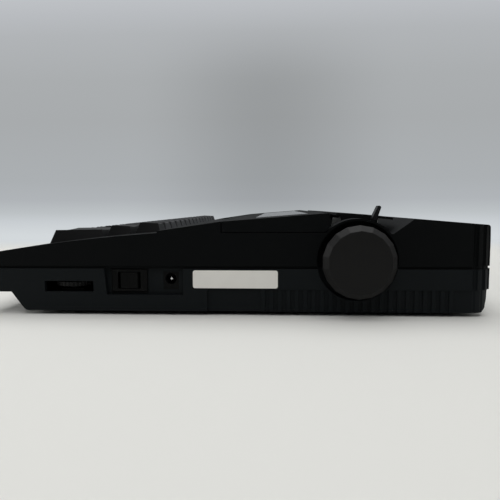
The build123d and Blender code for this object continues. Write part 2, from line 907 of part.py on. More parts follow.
# Layout, in key units from the left: each entry is a first unit, a width and a row
single_rows = {
    "number_row": (0.0, 14, 1),
    "upper_row": (1.5, 12, 2),
    "home_row": (1.75, 11, 3),
    "lower_row": (1.75, 10, 4),
}
large_keys = {
    "correct_key": (14.0, 1.0, 1),
    "tab_key": (0.0, 1.5, 2),
    "index_key": (13.5, 1.5, 2),
    "lock_key": (0.0, 1.75, 3),
    "left_shift": (0.0, 1.75, 4),
    "right_shift": (11.75, 1.0, 4),
    "code_key": (1.75, 1.5, 5),
    "mode_key": (11.25, 1.5, 5),
}
return_units = 2.25
space_start = 3.25
space_units = 8.0
space_lower = 1.5

letter_cap = key_cap(1)
for name, (first, count, row) in single_rows.items():
    with BuildPart() as key_row:
        for n in range(count):
            add(seated(letter_cap, first + n + 0.5, row))
    save(key_row, name)

for name, (first, units, row) in large_keys.items():
    with BuildPart() as large_key:
        add(seated(key_cap(units), first + units / 2, row))
    save(large_key, name)

with BuildPart() as return_key:
    tall_cap = key_cap(return_units, rows=2, lift=1.9, drop=0.8)
    add(seated(tall_cap, key_units - return_units / 2, 3.5))
save(return_key, "return_key")

with BuildPart() as space_bar:
    add(seated(key_cap(space_units, lower=space_lower), space_start + space_units / 2, 5))
save(space_bar, "space_bar")


def stem_places():
    """Middles of all key stems on the key plane."""
    middles = []
    for first, count, row in single_rows.values():
        middles += [(first + n + 0.5, row) for n in range(count)]
    middles += [(first + units / 2, row) for first, units, row in large_keys.values()]
    middles.append((key_units - return_units / 2, 3.5))
    middles.append((space_start + space_units / 2, 5))
    return [(u * key_pitch, -(row - 0.5) * key_pitch) for u, row in middles]


plate_length = key_units * key_pitch + 12.0
plate_front_v = -5 * key_pitch - 2.5
plate_rear_v = 3.0
plate_middle = (key_units * key_pitch / 2, (plate_front_v + plate_rear_v) / 2)
plate_post_r = 2.0
with BuildPart() as keyboard_plate:
    with BuildSketch(key_plane.offset(plate_w - plate_thickness)):
        with Locations(plate_middle):
            Rectangle(plate_length, plate_rear_v - plate_front_v)
        with Locations(*stem_places()):
            Rectangle(stem_side + 2 * slip, stem_side + 2 * slip, mode=Mode.SUBTRACT)
    extrude(amount=plate_thickness)
    # posts down to the switch board, in the corners between keys
    with BuildSketch(key_plane.offset(board_w)):
        with Locations(plate_middle):
            with GridLocations(plate_length - 6, plate_rear_v - plate_front_v - 5, 2, 2):
                Circle(plate_post_r)
    extrude(amount=plate_w - plate_thickness - board_w)
save(keyboard_plate, "keyboard_plate")

with BuildPart() as switch_board:
    with BuildSketch(key_plane.offset(board_w - board_thickness)):
        with Locations(plate_middle):
            Rectangle(plate_length, plate_rear_v - plate_front_v)
    extrude(amount=board_thickness)
save(switch_board, "switch_board")


# Display, set into the panel behind the keys
with BuildPart() as display_bezel:
    with BuildSketch(display_plane.offset(-wall - 1.5)):
        Rectangle(display_length + 8, display_width + 2 * display_flange)
    extrude(amount=1.5)
    with BuildSketch(display_plane.offset(-wall)):
        Rectangle(display_length, display_width)
    extrude(amount=wall)
    with BuildSketch(display_plane.offset(-wall - 1.5)):
        Rectangle(display_length - 2 * display_rim, display_width - 2 * display_rim)
    extrude(amount=2 * wall, mode=Mode.SUBTRACT)
save(display_bezel, "display_bezel")

with BuildPart() as display_glass:
    with BuildSketch(display_plane.offset(-display_sunk - display_glass_thickness)):
        Rectangle(display_length - 2 * display_rim, display_width - 2 * display_rim)
    extrude(amount=display_glass_thickness)
save(display_glass, "display_glass")


# Main board on the floor's posts, with its chips and sockets
with BuildPart() as main_board:
    with BuildSketch(Plane.XY.offset(main_z)):
        with Locations((main_x, main_y)):
            Rectangle(main_length, main_width)
    extrude(amount=1.6)
    with BuildSketch(Plane.XY.offset(main_z + 1.6)):
        with Locations((main_x - 30, main_y)):
            with GridLocations(48, 1, 3, 1):
                Rectangle(36, 13.5)
    extrude(amount=4.0)
    with BuildSketch(Plane.XY.offset(main_z + 1.6)):
        with Locations((main_x + 70, main_y)):
            with GridLocations(16, 16, 2, 2):
                Rectangle(11, 6)
    extrude(amount=7.0)
    with BuildSketch(Plane.XY.offset(main_z + 1.6)):
        with Locations((main_x - main_length / 2 + 6, main_y)):
            Circle(4.0)
    extrude(amount=11.0)
save(main_board, "main_board")


def side_frame(x, holes):
    """One printer side plate, from x to the right, with its round holes."""
    with BuildPart(mode=Mode.PRIVATE) as plate:
        with BuildSketch(yz(x)):
            with BuildLine():
                Polyline(
                    (frame_front, floor_z),
                    (frame_rear, floor_z),
                    (frame_rear, pinch_z + 8),
                    (platen_y + 15.6, platen_z + 8),
                    (platen_y + 15.6, cover_line_z(platen_y + 15.6) - cover_thickness - 0.75),
                    (platen_y - 12.4, cover_line_z(platen_y - 12.4) - cover_thickness - 1.65),
                    (platen_y - 13.8, lid_land_z),
                    (platen_y - 18.4, frame_top_z),
                    (frame_front + 6, frame_top_z),
                    (frame_front, frame_top_z - 8),
                    close=True,
                )
            make_face()
            for y, z, r in holes:
                with Locations((y, z)):
                    Circle(r, mode=Mode.SUBTRACT)
        extrude(amount=frame_wall)
    return plate.part


shared_holes = [
    (platen_y, platen_z, bush_r),
    (guide_y, guide_z, guide_r),
    (pinch_y, pinch_z, pinch_rod_r + running),
]
gear_holes = [(pinion_y, pinion_z, pinion_shaft_r + 1.5)]


def idler_stud(x):
    """The stud for the idler gear: shoulder, running length and head."""
    with BuildPart(mode=Mode.PRIVATE) as stud:
        for start, end, r in (
            (x, gear_x + gear_face + slip, stud_r),
            (inner_left, gear_x - slip, stud_r + 1.5),
            (gear_x + gear_face + slip, gear_x + gear_face + slip + 1.0, stud_r + 1.2),
        ):
            with BuildSketch(yz(start)):
                with Locations((idler_y, idler_z)):
                    Circle(r)
            extrude(amount=end - start)
    return stud.part


for name, side, x, holes in (
    ("side_frame_left", -1, frame_left_x, shared_holes + gear_holes),
    ("side_frame_right", 1, inner_right, shared_holes),
):
    outer_x = frame_left_x if side < 0 else frame_right_x
    with BuildPart() as frame_part:
        add(side_frame(x, holes))
        with BuildSketch(Plane.XY.offset(floor_z)):
            with Locations((outer_x + side * flange_width / 2, (frame_front + frame_rear) / 2)):
                Rectangle(flange_width, frame_rear - frame_front)
            screw_x = outer_x + side * frame_screw_side
            with Locations(*[(screw_x, y) for y in frame_screw_y]):
                Circle(frame_screw_r, mode=Mode.SUBTRACT)
        extrude(amount=flange_thickness)
        if side < 0:
            add(idler_stud(x))
    save(frame_part, name)

with BuildPart() as frame_screws:
    with BuildSketch(Plane.XY.offset(floor_z - frame_screw_bite)):
        with Locations(*frame_screw_places):
            Circle(frame_screw_r)
    extrude(amount=frame_screw_bite + flange_thickness)
    with BuildSketch(Plane.XY.offset(floor_z + flange_thickness)):
        with Locations(*frame_screw_places):
            Circle(2 * frame_screw_r)
    extrude(amount=1.8)
    with BuildSketch(Plane.XY.offset(floor_z + flange_thickness + 0.8)):
        with Locations(*frame_screw_places):
            Rectangle(2 * frame_screw_r, 0.7)
            Rectangle(0.7, 2 * frame_screw_r)
    extrude(amount=1.0, mode=Mode.SUBTRACT)
save(frame_screws, "frame_screws")


def gear(teeth, middle_y, middle_z, phase, bore):
    """A spur gear on the feed train's plane, its first tooth at the phase angle."""
    pitch_r = gear_module * teeth / 2
    root_r = pitch_r - 1.2 * gear_module
    tip_r = pitch_r + 0.8 * gear_module
    step = 2 * pi / teeth
    points = []
    for n in range(teeth):
        middle = radians(phase) + n * step
        for r, turn in (
            (root_r, -0.29), (tip_r, -0.11), (tip_r, 0.11), (root_r, 0.29)
        ):
            angle = middle + turn * step
            points.append((middle_y + r * cos(angle), middle_z + r * sin(angle)))
    with BuildPart(mode=Mode.PRIVATE) as wheel:
        with BuildSketch(yz(gear_x)):
            with BuildLine():
                Polyline(*points, close=True)
            make_face()
            with Locations((middle_y, middle_z)):
                Circle(bore, mode=Mode.SUBTRACT)
        extrude(amount=gear_face)
    return wheel.part


# Platen
platen_left = gear_x + gear_face + 1.5
platen_right = inner_right - 3.0
core_r = platen_r - platen_sleeve
knob_face_x = right_x + knob_reach
knob_back_x = right_x - 5.0
hub_depth = 12.0
with BuildPart() as platen_shaft:
    with BuildSketch(yz(frame_left_x - 3.0)):
        with Locations((platen_y, platen_z)):
            Circle(shaft_r)
    extrude(amount=knob_face_x - 5.0 - frame_left_x + 3.0)
    with BuildSketch(yz(platen_left)):
        with Locations((platen_y, platen_z)):
            Circle(core_r)
    extrude(amount=platen_right - platen_left)
save(platen_shaft, "platen_shaft")

with BuildPart() as platen_roller:
    with BuildSketch(yz(platen_left)):
        with Locations((platen_y, platen_z)):
            Circle(platen_r)
            Circle(core_r, mode=Mode.SUBTRACT)
    extrude(amount=platen_right - platen_left)
save(platen_roller, "platen_roller")

with BuildPart() as platen_gear:
    add(gear(platen_teeth, platen_y, platen_z, idler_angle, shaft_r))
save(platen_gear, "platen_gear")

with BuildPart() as platen_bushes:
    for frame_x, inward in ((inner_left, 1), (inner_right, -1)):
        with BuildSketch(yz(frame_x)):
            with Locations((platen_y, platen_z)):
                Circle(bush_r + 2)
                Circle(shaft_r + running, mode=Mode.SUBTRACT)
        extrude(amount=inward * 1.3)
        with BuildSketch(yz(frame_x)):
            with Locations((platen_y, platen_z)):
                Circle(bush_r)
                Circle(shaft_r + running, mode=Mode.SUBTRACT)
        extrude(amount=-inward * frame_wall)
save(platen_bushes, "platen_bushes")

# Knob: a cone with scalloped sides, a rim, a skirt into the cup and a hub on the shaft
with BuildPart() as platen_knob:
    with BuildSketch(Plane(origin=(0, platen_y, platen_z), x_dir=(1, 0, 0), z_dir=(0, -1, 0))):
        with BuildLine():
            Polyline(
                (knob_back_x, 0),
                (knob_back_x, knob_r - 2.4),
                (right_x + knob_rim - 1.6, knob_r - 2.4),
                (right_x + knob_rim - 1.6, knob_r),
                (right_x + knob_rim, knob_r),
                (knob_face_x - knob_edge, knob_face_r + knob_edge),
                (knob_face_x, knob_face_r),
                (knob_face_x, 0),
                close=True,
            )
        make_face()
    revolve(axis=Axis((0, platen_y, platen_z), (1, 0, 0)))
    # scallops follow the cone, from behind its rim to past its face
    cone_run = knob_reach - knob_rim
    cone_lean = atan2(knob_r - knob_face_r - knob_edge, cone_run - knob_edge)
    scallop_r = 11.0
    scallop_depth = 0.5
    for n in range(knob_scallops):
        turn = 2 * pi * n / knob_scallops
        out_y = cos(turn)
        out_z = sin(turn)
        off = scallop_r - scallop_depth
        groove_x = right_x + knob_rim + off * sin(cone_lean) - cone_run * cos(cone_lean)
        reach = knob_r + off * cos(cone_lean) + cone_run * sin(cone_lean)
        groove = Plane(
            origin=(groove_x, platen_y + reach * out_y, platen_z + reach * out_z),
            x_dir=(0, -out_z, out_y),
            z_dir=(cos(cone_lean), -sin(cone_lean) * out_y, -sin(cone_lean) * out_z),
        )
        with BuildSketch(groove):
            Circle(scallop_r)
        extrude(amount=3 * cone_run, mode=Mode.SUBTRACT)
    # hollow behind, round the hub
    with BuildSketch(yz(knob_back_x)):
        with Locations((platen_y, platen_z)):
            Circle(knob_r - 4.4)
            Circle(shaft_r + 3.5, mode=Mode.SUBTRACT)
    extrude(amount=hub_depth, mode=Mode.SUBTRACT)
    with BuildSketch(yz(knob_back_x)):
        with Locations((platen_y, platen_z)):
            Circle(shaft_r)
    extrude(amount=knob_face_x - 5.0 - knob_back_x, mode=Mode.SUBTRACT)
save(platen_knob, "platen_knob")


# Feed train
def mesh_phase(teeth, angle):
    """Phase that puts a gap of the wheel at the given angle from its own centre."""
    return angle + 180.0 / teeth


with BuildPart() as idler_gear:
    idler_phase = mesh_phase(idler_teeth, idler_angle + 180.0)
    add(gear(idler_teeth, idler_y, idler_z, idler_phase, stud_r + running))
save(idler_gear, "idler_gear")

feed_motor_r = 15.0
feed_motor_depth = 15.0
with BuildPart() as feed_motor:
    with BuildSketch(yz(frame_left_x - 1.5)):
        with Locations((pinion_y, pinion_z)):
            SlotOverall(44, 16)
            Circle(feed_motor_r)
            Circle(pinion_shaft_r + running, mode=Mode.SUBTRACT)
    extrude(amount=1.5)
    with BuildSketch(yz(frame_left_x - 1.5 - feed_motor_depth)):
        with Locations((pinion_y, pinion_z)):
            Circle(feed_motor_r)
    extrude(amount=feed_motor_depth)
    with BuildSketch(yz(frame_left_x - 10)):
        with Locations((pinion_y, pinion_z)):
            Circle(pinion_shaft_r + running)
    extrude(amount=10, mode=Mode.SUBTRACT)
save(feed_motor, "feed_motor")

with BuildPart() as motor_pinion:
    idler_turn = idler_phase
    meet = pinion_angle
    # tooth of the idler nearest the pinion sets the pinion's phase
    idler_step = 360.0 / idler_teeth
    off = (meet - idler_turn) % idler_step / idler_step
    pinion_phase = meet + 180.0 - (off - 0.5) * 360.0 / pinion_teeth
    add(gear(pinion_teeth, pinion_y, pinion_z, pinion_phase, 0.5))
    with BuildSketch(yz(frame_left_x - 9)):
        with Locations((pinion_y, pinion_z)):
            Circle(pinion_shaft_r)
    extrude(amount=gear_x + gear_face + 9 - frame_left_x)
save(motor_pinion, "motor_pinion")


# Guide shaft and rail
with BuildPart() as guide_shaft:
    with BuildSketch(yz(frame_left_x)):
        with Locations((guide_y, guide_z)):
            Circle(guide_r)
    extrude(amount=frame_right_x - frame_left_x)
save(guide_shaft, "guide_shaft")

with BuildPart() as carriage_rail:
    with BuildSketch(yz(inner_left)):
        with Locations((rail_y, rail_z + rail_height / 2)):
            Rectangle(rail_thickness, rail_height)
    extrude(amount=inner_right - inner_left)
save(carriage_rail, "carriage_rail")


# Carriage, print head and ribbon cassette, at the left end of their travel
carriage_half = 22.0
cassette_half = 26.0
cassette_depth = 30.0
cassette_height = 11.0
carriage_x = gear_x + gear_face + 2.7 + cassette_half
deck_z = 27.0
deck_thickness = 3.0
belt_y = guide_y - 24.0
belt_z = 21.0
belt_height = 4.5
belt_thickness = 1.2
pulley_r = 6.4
belt_run_y = belt_y + pulley_r + apart / 2 + belt_thickness / 2
head_gap = 1.2
head_y = platen_y - platen_r - head_gap
spool_r = 3.0
spool_half = 13.0
with BuildPart() as carriage:
    with BuildSketch(yz(carriage_x - carriage_half)):
        with Locations((guide_y, (guide_z - 7 + deck_z) / 2)):
            Rectangle(14, deck_z - guide_z + 7)
        with Locations((guide_y, deck_z + deck_thickness / 2)):
            with Locations((-1, 0)):
                Rectangle(38, deck_thickness)
        with Locations((guide_y, guide_z)):
            Circle(guide_r + running, mode=Mode.SUBTRACT)
        # fork on the rail
        for side in (-1, 1):
            fork_y = rail_y + side * (rail_thickness / 2 + slip + 0.8)
            with Locations((fork_y, deck_z + deck_thickness + 2.75)):
                Rectangle(1.6, 5.5)
    extrude(amount=2 * carriage_half)
    # belt clamp on the rear run
    with BuildSketch(yz(carriage_x - 4)):
        for side in (-1, 1):
            clamp_y = belt_run_y + side * (belt_thickness / 2 + apart + 0.7)
            with Locations((clamp_y, (deck_z + belt_z - 0.6) / 2)):
                Rectangle(1.4, deck_z - belt_z + 0.6)
    extrude(amount=8)
    # head bracket
    with BuildSketch(yz(carriage_x - 9)):
        with BuildLine():
            Polyline(
                (guide_y + 12, deck_z + deck_thickness - 1),
                (head_y - 5, deck_z + deck_thickness - 1),
                (head_y - 5, 41),
                (head_y - 6.6, 41),
                (head_y - 6.6, deck_z + deck_thickness + 3),
                (guide_y + 12, deck_z + deck_thickness),
                close=True,
            )
        make_face()
    extrude(amount=18)
    # spool spindles and rests for the cassette
    with BuildSketch(Plane.XY.offset(deck_z + deck_thickness)):
        with Locations((carriage_x, guide_y)):
            with GridLocations(2 * spool_half, 1, 2, 1):
                Circle(spool_r + 2)
    extrude(amount=6.5)
    with BuildSketch(Plane.XY.offset(deck_z + deck_thickness + 6.5)):
        with Locations((carriage_x, guide_y)):
            with GridLocations(2 * spool_half, 1, 2, 1):
                Circle(spool_r)
    extrude(amount=4.5)
save(carriage, "carriage")

with BuildPart() as print_head:
    with BuildSketch(Plane.XY.offset(29.5)):
        with Locations((carriage_x, head_y - 2.9)):
            Rectangle(14, 4.2)
    extrude(amount=11)
    with BuildSketch(Plane.XY.offset(30.5)):
        with Locations((carriage_x, head_y - 0.4)):
            Rectangle(7, 0.8)
    extrude(amount=8)
save(print_head, "print_head")

cassette_z = deck_z + deck_thickness + 6.5
with BuildPart() as ribbon_cassette:
    with BuildSketch(Plane.XY.offset(cassette_z)):
        with Locations((carriage_x, guide_y - 1)):
            RectangleRounded(2 * cassette_half, cassette_depth, 5)
            with Locations((0, 1)):
                with GridLocations(2 * spool_half, 1, 2, 1):
                    Circle(spool_r + slip, mode=Mode.SUBTRACT)
    extrude(amount=cassette_height)
    chamfer(ribbon_cassette.faces().sort_by(Axis.Z)[-1].outer_wire().edges(), 0.8)
    # arms that lead the ribbon round the head
    with BuildSketch(Plane.XY.offset(cassette_z + 1)):
        with Locations((carriage_x, guide_y + cassette_depth / 2 + 2)):
            with GridLocations(34, 1, 2, 1):
                Rectangle(5, 10)
    extrude(amount=6)
save(ribbon_cassette, "ribbon_cassette")


# Belt drive
drive_x = inner_right - 15.0
idle_x = inner_left + 16.0
flange_r = pulley_r + 2.0
carriage_motor_r = 13.0
motor_top_z = belt_z - 2.0
with BuildPart() as carriage_motor:
    with BuildSketch(Plane.XY.offset(floor_z)):
        with Locations((drive_x, belt_y)):
            Circle(carriage_motor_r)
    extrude(amount=motor_top_z - floor_z)
    with BuildSketch(Plane.XY.offset(motor_top_z - 8)):
        with Locations((drive_x, belt_y)):
            Circle(pinion_shaft_r + running)
    extrude(amount=8, mode=Mode.SUBTRACT)
save(carriage_motor, "carriage_motor")


def pulley(x, bore):
    """A flanged pulley at belt height; no bore makes it solid."""
    with BuildPart(mode=Mode.PRIVATE) as wheel:
        for z, r, height in (
            (belt_z - 1.0, flange_r, 0.8),
            (belt_z - 0.2, pulley_r, belt_height + 0.4),
            (belt_z + belt_height + 0.2, flange_r, 0.8),
        ):
            with BuildSketch(Plane.XY.offset(z)):
                with Locations((x, belt_y)):
                    Circle(r)
            extrude(amount=height)
        if bore:
            with BuildSketch(Plane.XY.offset(belt_z - 2)):
                with Locations((x, belt_y)):
                    Circle(bore)
            extrude(amount=belt_height + 4, mode=Mode.SUBTRACT)
    return wheel.part


with BuildPart() as drive_pulley:
    add(pulley(drive_x, 0))
    with BuildSketch(Plane.XY.offset(motor_top_z - 7.5)):
        with Locations((drive_x, belt_y)):
            Circle(pinion_shaft_r)
    extrude(amount=belt_z - motor_top_z + 7.5)
save(drive_pulley, "drive_pulley")

tension_pin_r = 2.0
with BuildPart() as idle_pulley:
    add(pulley(idle_x, tension_pin_r + running))
save(idle_pulley, "idle_pulley")

with BuildPart() as belt_tensioner:
    with BuildSketch(Plane.XY.offset(floor_z)):
        with Locations((idle_x, belt_y)):
            RectangleRounded(22, 16, 3)
    extrude(amount=2.0)
    with BuildSketch(Plane.XY.offset(floor_z)):
        with Locations((idle_x, belt_y)):
            Circle(4.0)
    extrude(amount=belt_z - 1.0 - slip - floor_z)
    with BuildSketch(Plane.XY.offset(floor_z)):
        with Locations((idle_x, belt_y)):
            Circle(tension_pin_r)
    extrude(amount=belt_z + belt_height + 1.2 - floor_z)
save(belt_tensioner, "belt_tensioner")

with BuildPart() as timing_belt:
    with BuildSketch(Plane.XY.offset(belt_z)):
        inner = 2 * (pulley_r + apart / 2)
        outer = inner + 2 * belt_thickness
        with Locations(((drive_x + idle_x) / 2, belt_y)):
            SlotCenterToCenter(drive_x - idle_x, outer)
            SlotCenterToCenter(drive_x - idle_x, inner, mode=Mode.SUBTRACT)
    extrude(amount=belt_height)
save(timing_belt, "timing_belt")


# Paper pan under the platen, with windows for the pinch rollers and feet on the floor
pan_gap = 1.4
pan_thickness = 1.0
pan_r = platen_r + pan_gap
pan_left = platen_left
roller_length = 22.0
roller_places = [
    (inner_left + inner_right) / 2 + n * 80.0 for n in (-1, 0, 1)
]
arm_thickness = 2.0
window_length = roller_length + 2 * arm_thickness + 4
window_front = roller_y - 6.5
window_rear = roller_y + 6.5
window_low = pinch_z - 4
window_top = pinch_z + 10
with BuildPart() as paper_pan:
    rear_end = radians(20.0)
    wing = (opening_rear - 0.8, incline_foot_z - 3.6)
    with BuildSketch(yz(pan_left)):
        with Locations((platen_y, platen_z)):
            Circle(pan_r + pan_thickness)
        with BuildLine():
            Polyline(
                (platen_y, platen_z),
                (platen_y + 40 * cos(rear_end), platen_z + 40 * sin(rear_end)),
                (platen_y + 40, platen_z + 60),
                (platen_y - 60, platen_z + 60),
                (platen_y - 60, platen_z - 60),
                close=True,
            )
        make_face(mode=Mode.SUBTRACT)
        with BuildLine():
            start_y = platen_y + pan_r * cos(rear_end)
            start_z = platen_z + pan_r * sin(rear_end)
            Polyline(
                (start_y - 0.2, start_z - 0.2),
                (start_y + pan_thickness, start_z - 0.6),
                wing,
                (wing[0] - pan_thickness, wing[1] + 0.3),
                close=True,
            )
        make_face()
        with Locations((platen_y, platen_z)):
            Circle(pan_r, mode=Mode.SUBTRACT)
    extrude(amount=inner_right - pan_left)
    for x in (pan_left + 4, inner_right - 4):
        with BuildSketch(yz(x - 1)):
            with Locations((platen_y - 3, floor_z)):
                Rectangle(
                    10,
                    platen_z - pan_r - pan_thickness / 2 - floor_z,
                    align=(Align.CENTER, Align.MIN),
                )
        extrude(amount=2)
    with BuildSketch(Plane.XY.offset(window_low)):
        for x in roller_places:
            with Locations((x, roller_y)):
                Rectangle(window_length, window_rear - window_front)
    extrude(amount=window_top - window_low, mode=Mode.SUBTRACT)
    # The front strip, the rear strip and the bridges between them stay separate solids
    split(bisect_by=Plane.XZ.offset(-window_front), keep=Keep.BOTH)
    split(bisect_by=Plane.XY.offset(window_top), keep=Keep.BOTH)
save(paper_pan, "paper_pan")


# Pinch frame: rod, arms and cross bar; its rollers press on the platen
lever_x = frame_right_x + 2.6
lever_thickness = 2.0
with BuildPart() as pinch_frame:
    with BuildSketch(yz(frame_left_x - 1.5)):
        with Locations((pinch_y, pinch_z)):
            Circle(pinch_rod_r)
    extrude(amount=lever_x + lever_thickness + 0.8 - frame_left_x + 1.5)
    for x in roller_places:
        for side in (-1, 1):
            arm_x = x + side * (roller_length / 2 + 0.5 + arm_thickness / 2)
            with BuildSketch(yz(arm_x - arm_thickness / 2)):
                with Locations((pinch_y, pinch_z)):
                    Circle(pinch_rod_r + 1.8)
                with Locations((roller_y, roller_z)):
                    Circle(pinch_roller_shaft_r + 1.2)
                with BuildLine():
                    Polyline(
                        (pinch_y, pinch_z + 3.4),
                        (pinch_y, pinch_z - 3.4),
                        (roller_y, roller_z - 2.4),
                        (roller_y, roller_z + 2.4),
                        close=True,
                    )
                make_face()
                with Locations((roller_y, roller_z)):
                    Circle(pinch_roller_shaft_r + running, mode=Mode.SUBTRACT)
            extrude(amount=arm_thickness)
    bar_y = (pinch_y + roller_y) / 2 + 2.5
    bar_z = (pinch_z + roller_z) / 2 - 1.0
    with BuildSketch(yz(roller_places[0] - roller_length / 2 - 1)):
        with Locations((bar_y, bar_z)):
            Rectangle(4.0, 1.6)
    extrude(amount=roller_places[-1] - roller_places[0] + roller_length + 2)
save(pinch_frame, "pinch_frame")

# The shaft and the three rollers that are pressed on it stay separate solids
with BuildPart() as roller_shaft:
    shaft_start = roller_places[0] - roller_length / 2 - arm_thickness - 2
    shaft_end = roller_places[-1] + roller_length / 2 + arm_thickness + 2
    with BuildSketch(yz(shaft_start)):
        with Locations((roller_y, roller_z)):
            Circle(pinch_roller_shaft_r)
    extrude(amount=shaft_end - shaft_start)

with BuildPart() as pinch_rollers:
    for x in roller_places:
        with BuildSketch(yz(x - roller_length / 2)):
            with Locations((roller_y, roller_z)):
                Circle(pinch_roller_r)
                Circle(pinch_roller_shaft_r, mode=Mode.SUBTRACT)
        extrude(amount=roller_length)
pinch_rollers.part = Compound(roller_shaft.part.solids() + pinch_rollers.part.solids())
save(pinch_rollers, "pinch_rollers")


# Paper release lever: hub on the pinch rod, thin blade leaning to the rear, and a
# wider finger tab that stands up beside the cover
lever_blade = 2.0
lever_root = 2.9
lever_tab = 6.5
lever_base = (platen_y + 10.2, cover_line_z(platen_y + 10.2) - 1.9)
lever_tip = (platen_y + 14.0, cover_line_z(platen_y + 14.0) + 6.6)
lean_y = lever_tip[0] - lever_base[0]
lean_z = lever_tip[1] - lever_base[1]
across = lever_blade / sqrt(lean_y ** 2 + lean_z ** 2)
lever_tip_rear = (lever_tip[0] + across * lean_z, lever_tip[1] - across * lean_y)
lever_base_rear = (lever_base[0] + lever_root, lever_base[1] - 0.9)
with BuildPart() as release_lever:
    with BuildSketch(yz(lever_x)):
        with BuildLine():
            Polyline(
                (pinch_y - 3.9, pinch_z),
                (platen_y + 11.0, 44.0),
                lever_base,
                lever_base_rear,
                (platen_y + 15.5, 44.0),
                (pinch_y + 3.9, pinch_z),
                close=True,
            )
        make_face()
        with Locations((pinch_y, pinch_z)):
            Circle(4.0)
            Circle(pinch_rod_r, mode=Mode.SUBTRACT)
    extrude(amount=lever_thickness)
    with BuildSketch(yz(lever_x)) as tab:
        with BuildLine():
            Polyline(lever_base, lever_tip, lever_tip_rear, lever_base_rear, close=True)
        make_face()
        fillet(tab.vertices().sort_by(Axis.Y)[-2:], lever_blade * 0.4)
    extrude(amount=lever_tab)
save(release_lever, "release_lever")


# Cover over the platen, with end flanges on the side frames
with BuildPart() as paper_cover:
    cover_left = frame_left_x - 1.6
    cover_right = frame_right_x + 1.6
    middle_y = (cover_front + cover_rear) / 2
    middle_z = (cover_front_z + cover_rear_z) / 2 + cover_crown
    with BuildSketch(yz(cover_left)):
        with BuildLine():
            ThreePointArc(
                (cover_front, cover_front_z),
                (middle_y, middle_z),
                (cover_rear, cover_rear_z),
            )
            Line((cover_rear, cover_rear_z), (cover_rear, cover_rear_z - cover_thickness))
            ThreePointArc(
                (cover_rear, cover_rear_z - cover_thickness),
                (middle_y, middle_z - cover_thickness),
                (cover_front, cover_front_z - cover_thickness),
            )
            Line((cover_front, cover_front_z - cover_thickness), (cover_front, cover_front_z))
        make_face()
    extrude(amount=cover_right - cover_left)
    for x in (cover_left, frame_right_x):
        with BuildSketch(yz(x)):
            with BuildLine():
                Polyline(
                    (platen_y - 8, cover_line_z(platen_y - 8) - 0.9),
                    (platen_y - 6, lid_land_z - 1),
                    (platen_y + 14, lid_land_z - 1),
                    (platen_y + 15.4, cover_line_z(platen_y + 15.4) - 0.8),
                    close=True,
                )
            make_face()
        extrude(amount=1.6)
save(paper_cover, "paper_cover")


# Printer lid with skirts all round, a window and hinge ears
lid_wall = 2.4
lid_gap = 0.4              # over the landing
lid_front_gap = 0.6        # to the panel, which the lid swings past
window_length = case_width - 90.0
window_rear = lid_rear_y - 9.0
window_depth = 36.0
window_front = window_rear - window_depth
window_ledge = 2.0
window_fit = 0.1
window_thickness = 1.4
lid_slope = atan2(lid_rear_z - panel_rear_z, lid_depth - lid_front_gap)
lid_end_y = lid_rear_y + lid_tail - 0.2
swing_r = 4.6              # what lies behind the hinge stays this near to it


def lid_outline(inset):
    with BuildSketch(mode=Mode.PRIVATE) as outline:
        with BuildLine():
            Polyline(
                (lid_front_y + lid_front_gap, lid_land_z + lid_gap),
                (lid_front_y + lid_front_gap, panel_rear_z),
                (lid_rear_y, lid_rear_z),
                (lid_end_y, lid_tail_z),
                (lid_end_y, lid_land_z + lid_gap),
                close=True,
            )
        make_face()
        if inset:
            offset(amount=-inset, kind=Kind.INTERSECTION, mode=Mode.REPLACE)
            with Locations((lid_front_y + lid_front_gap + inset, lid_land_z)):
                Rectangle(
                    lid_end_y - lid_front_y - lid_front_gap - 2 * inset,
                    2 * (inset + lid_gap + 0.2),
                    align=(Align.MIN, Align.CENTER),
                )
    return outline.sketch


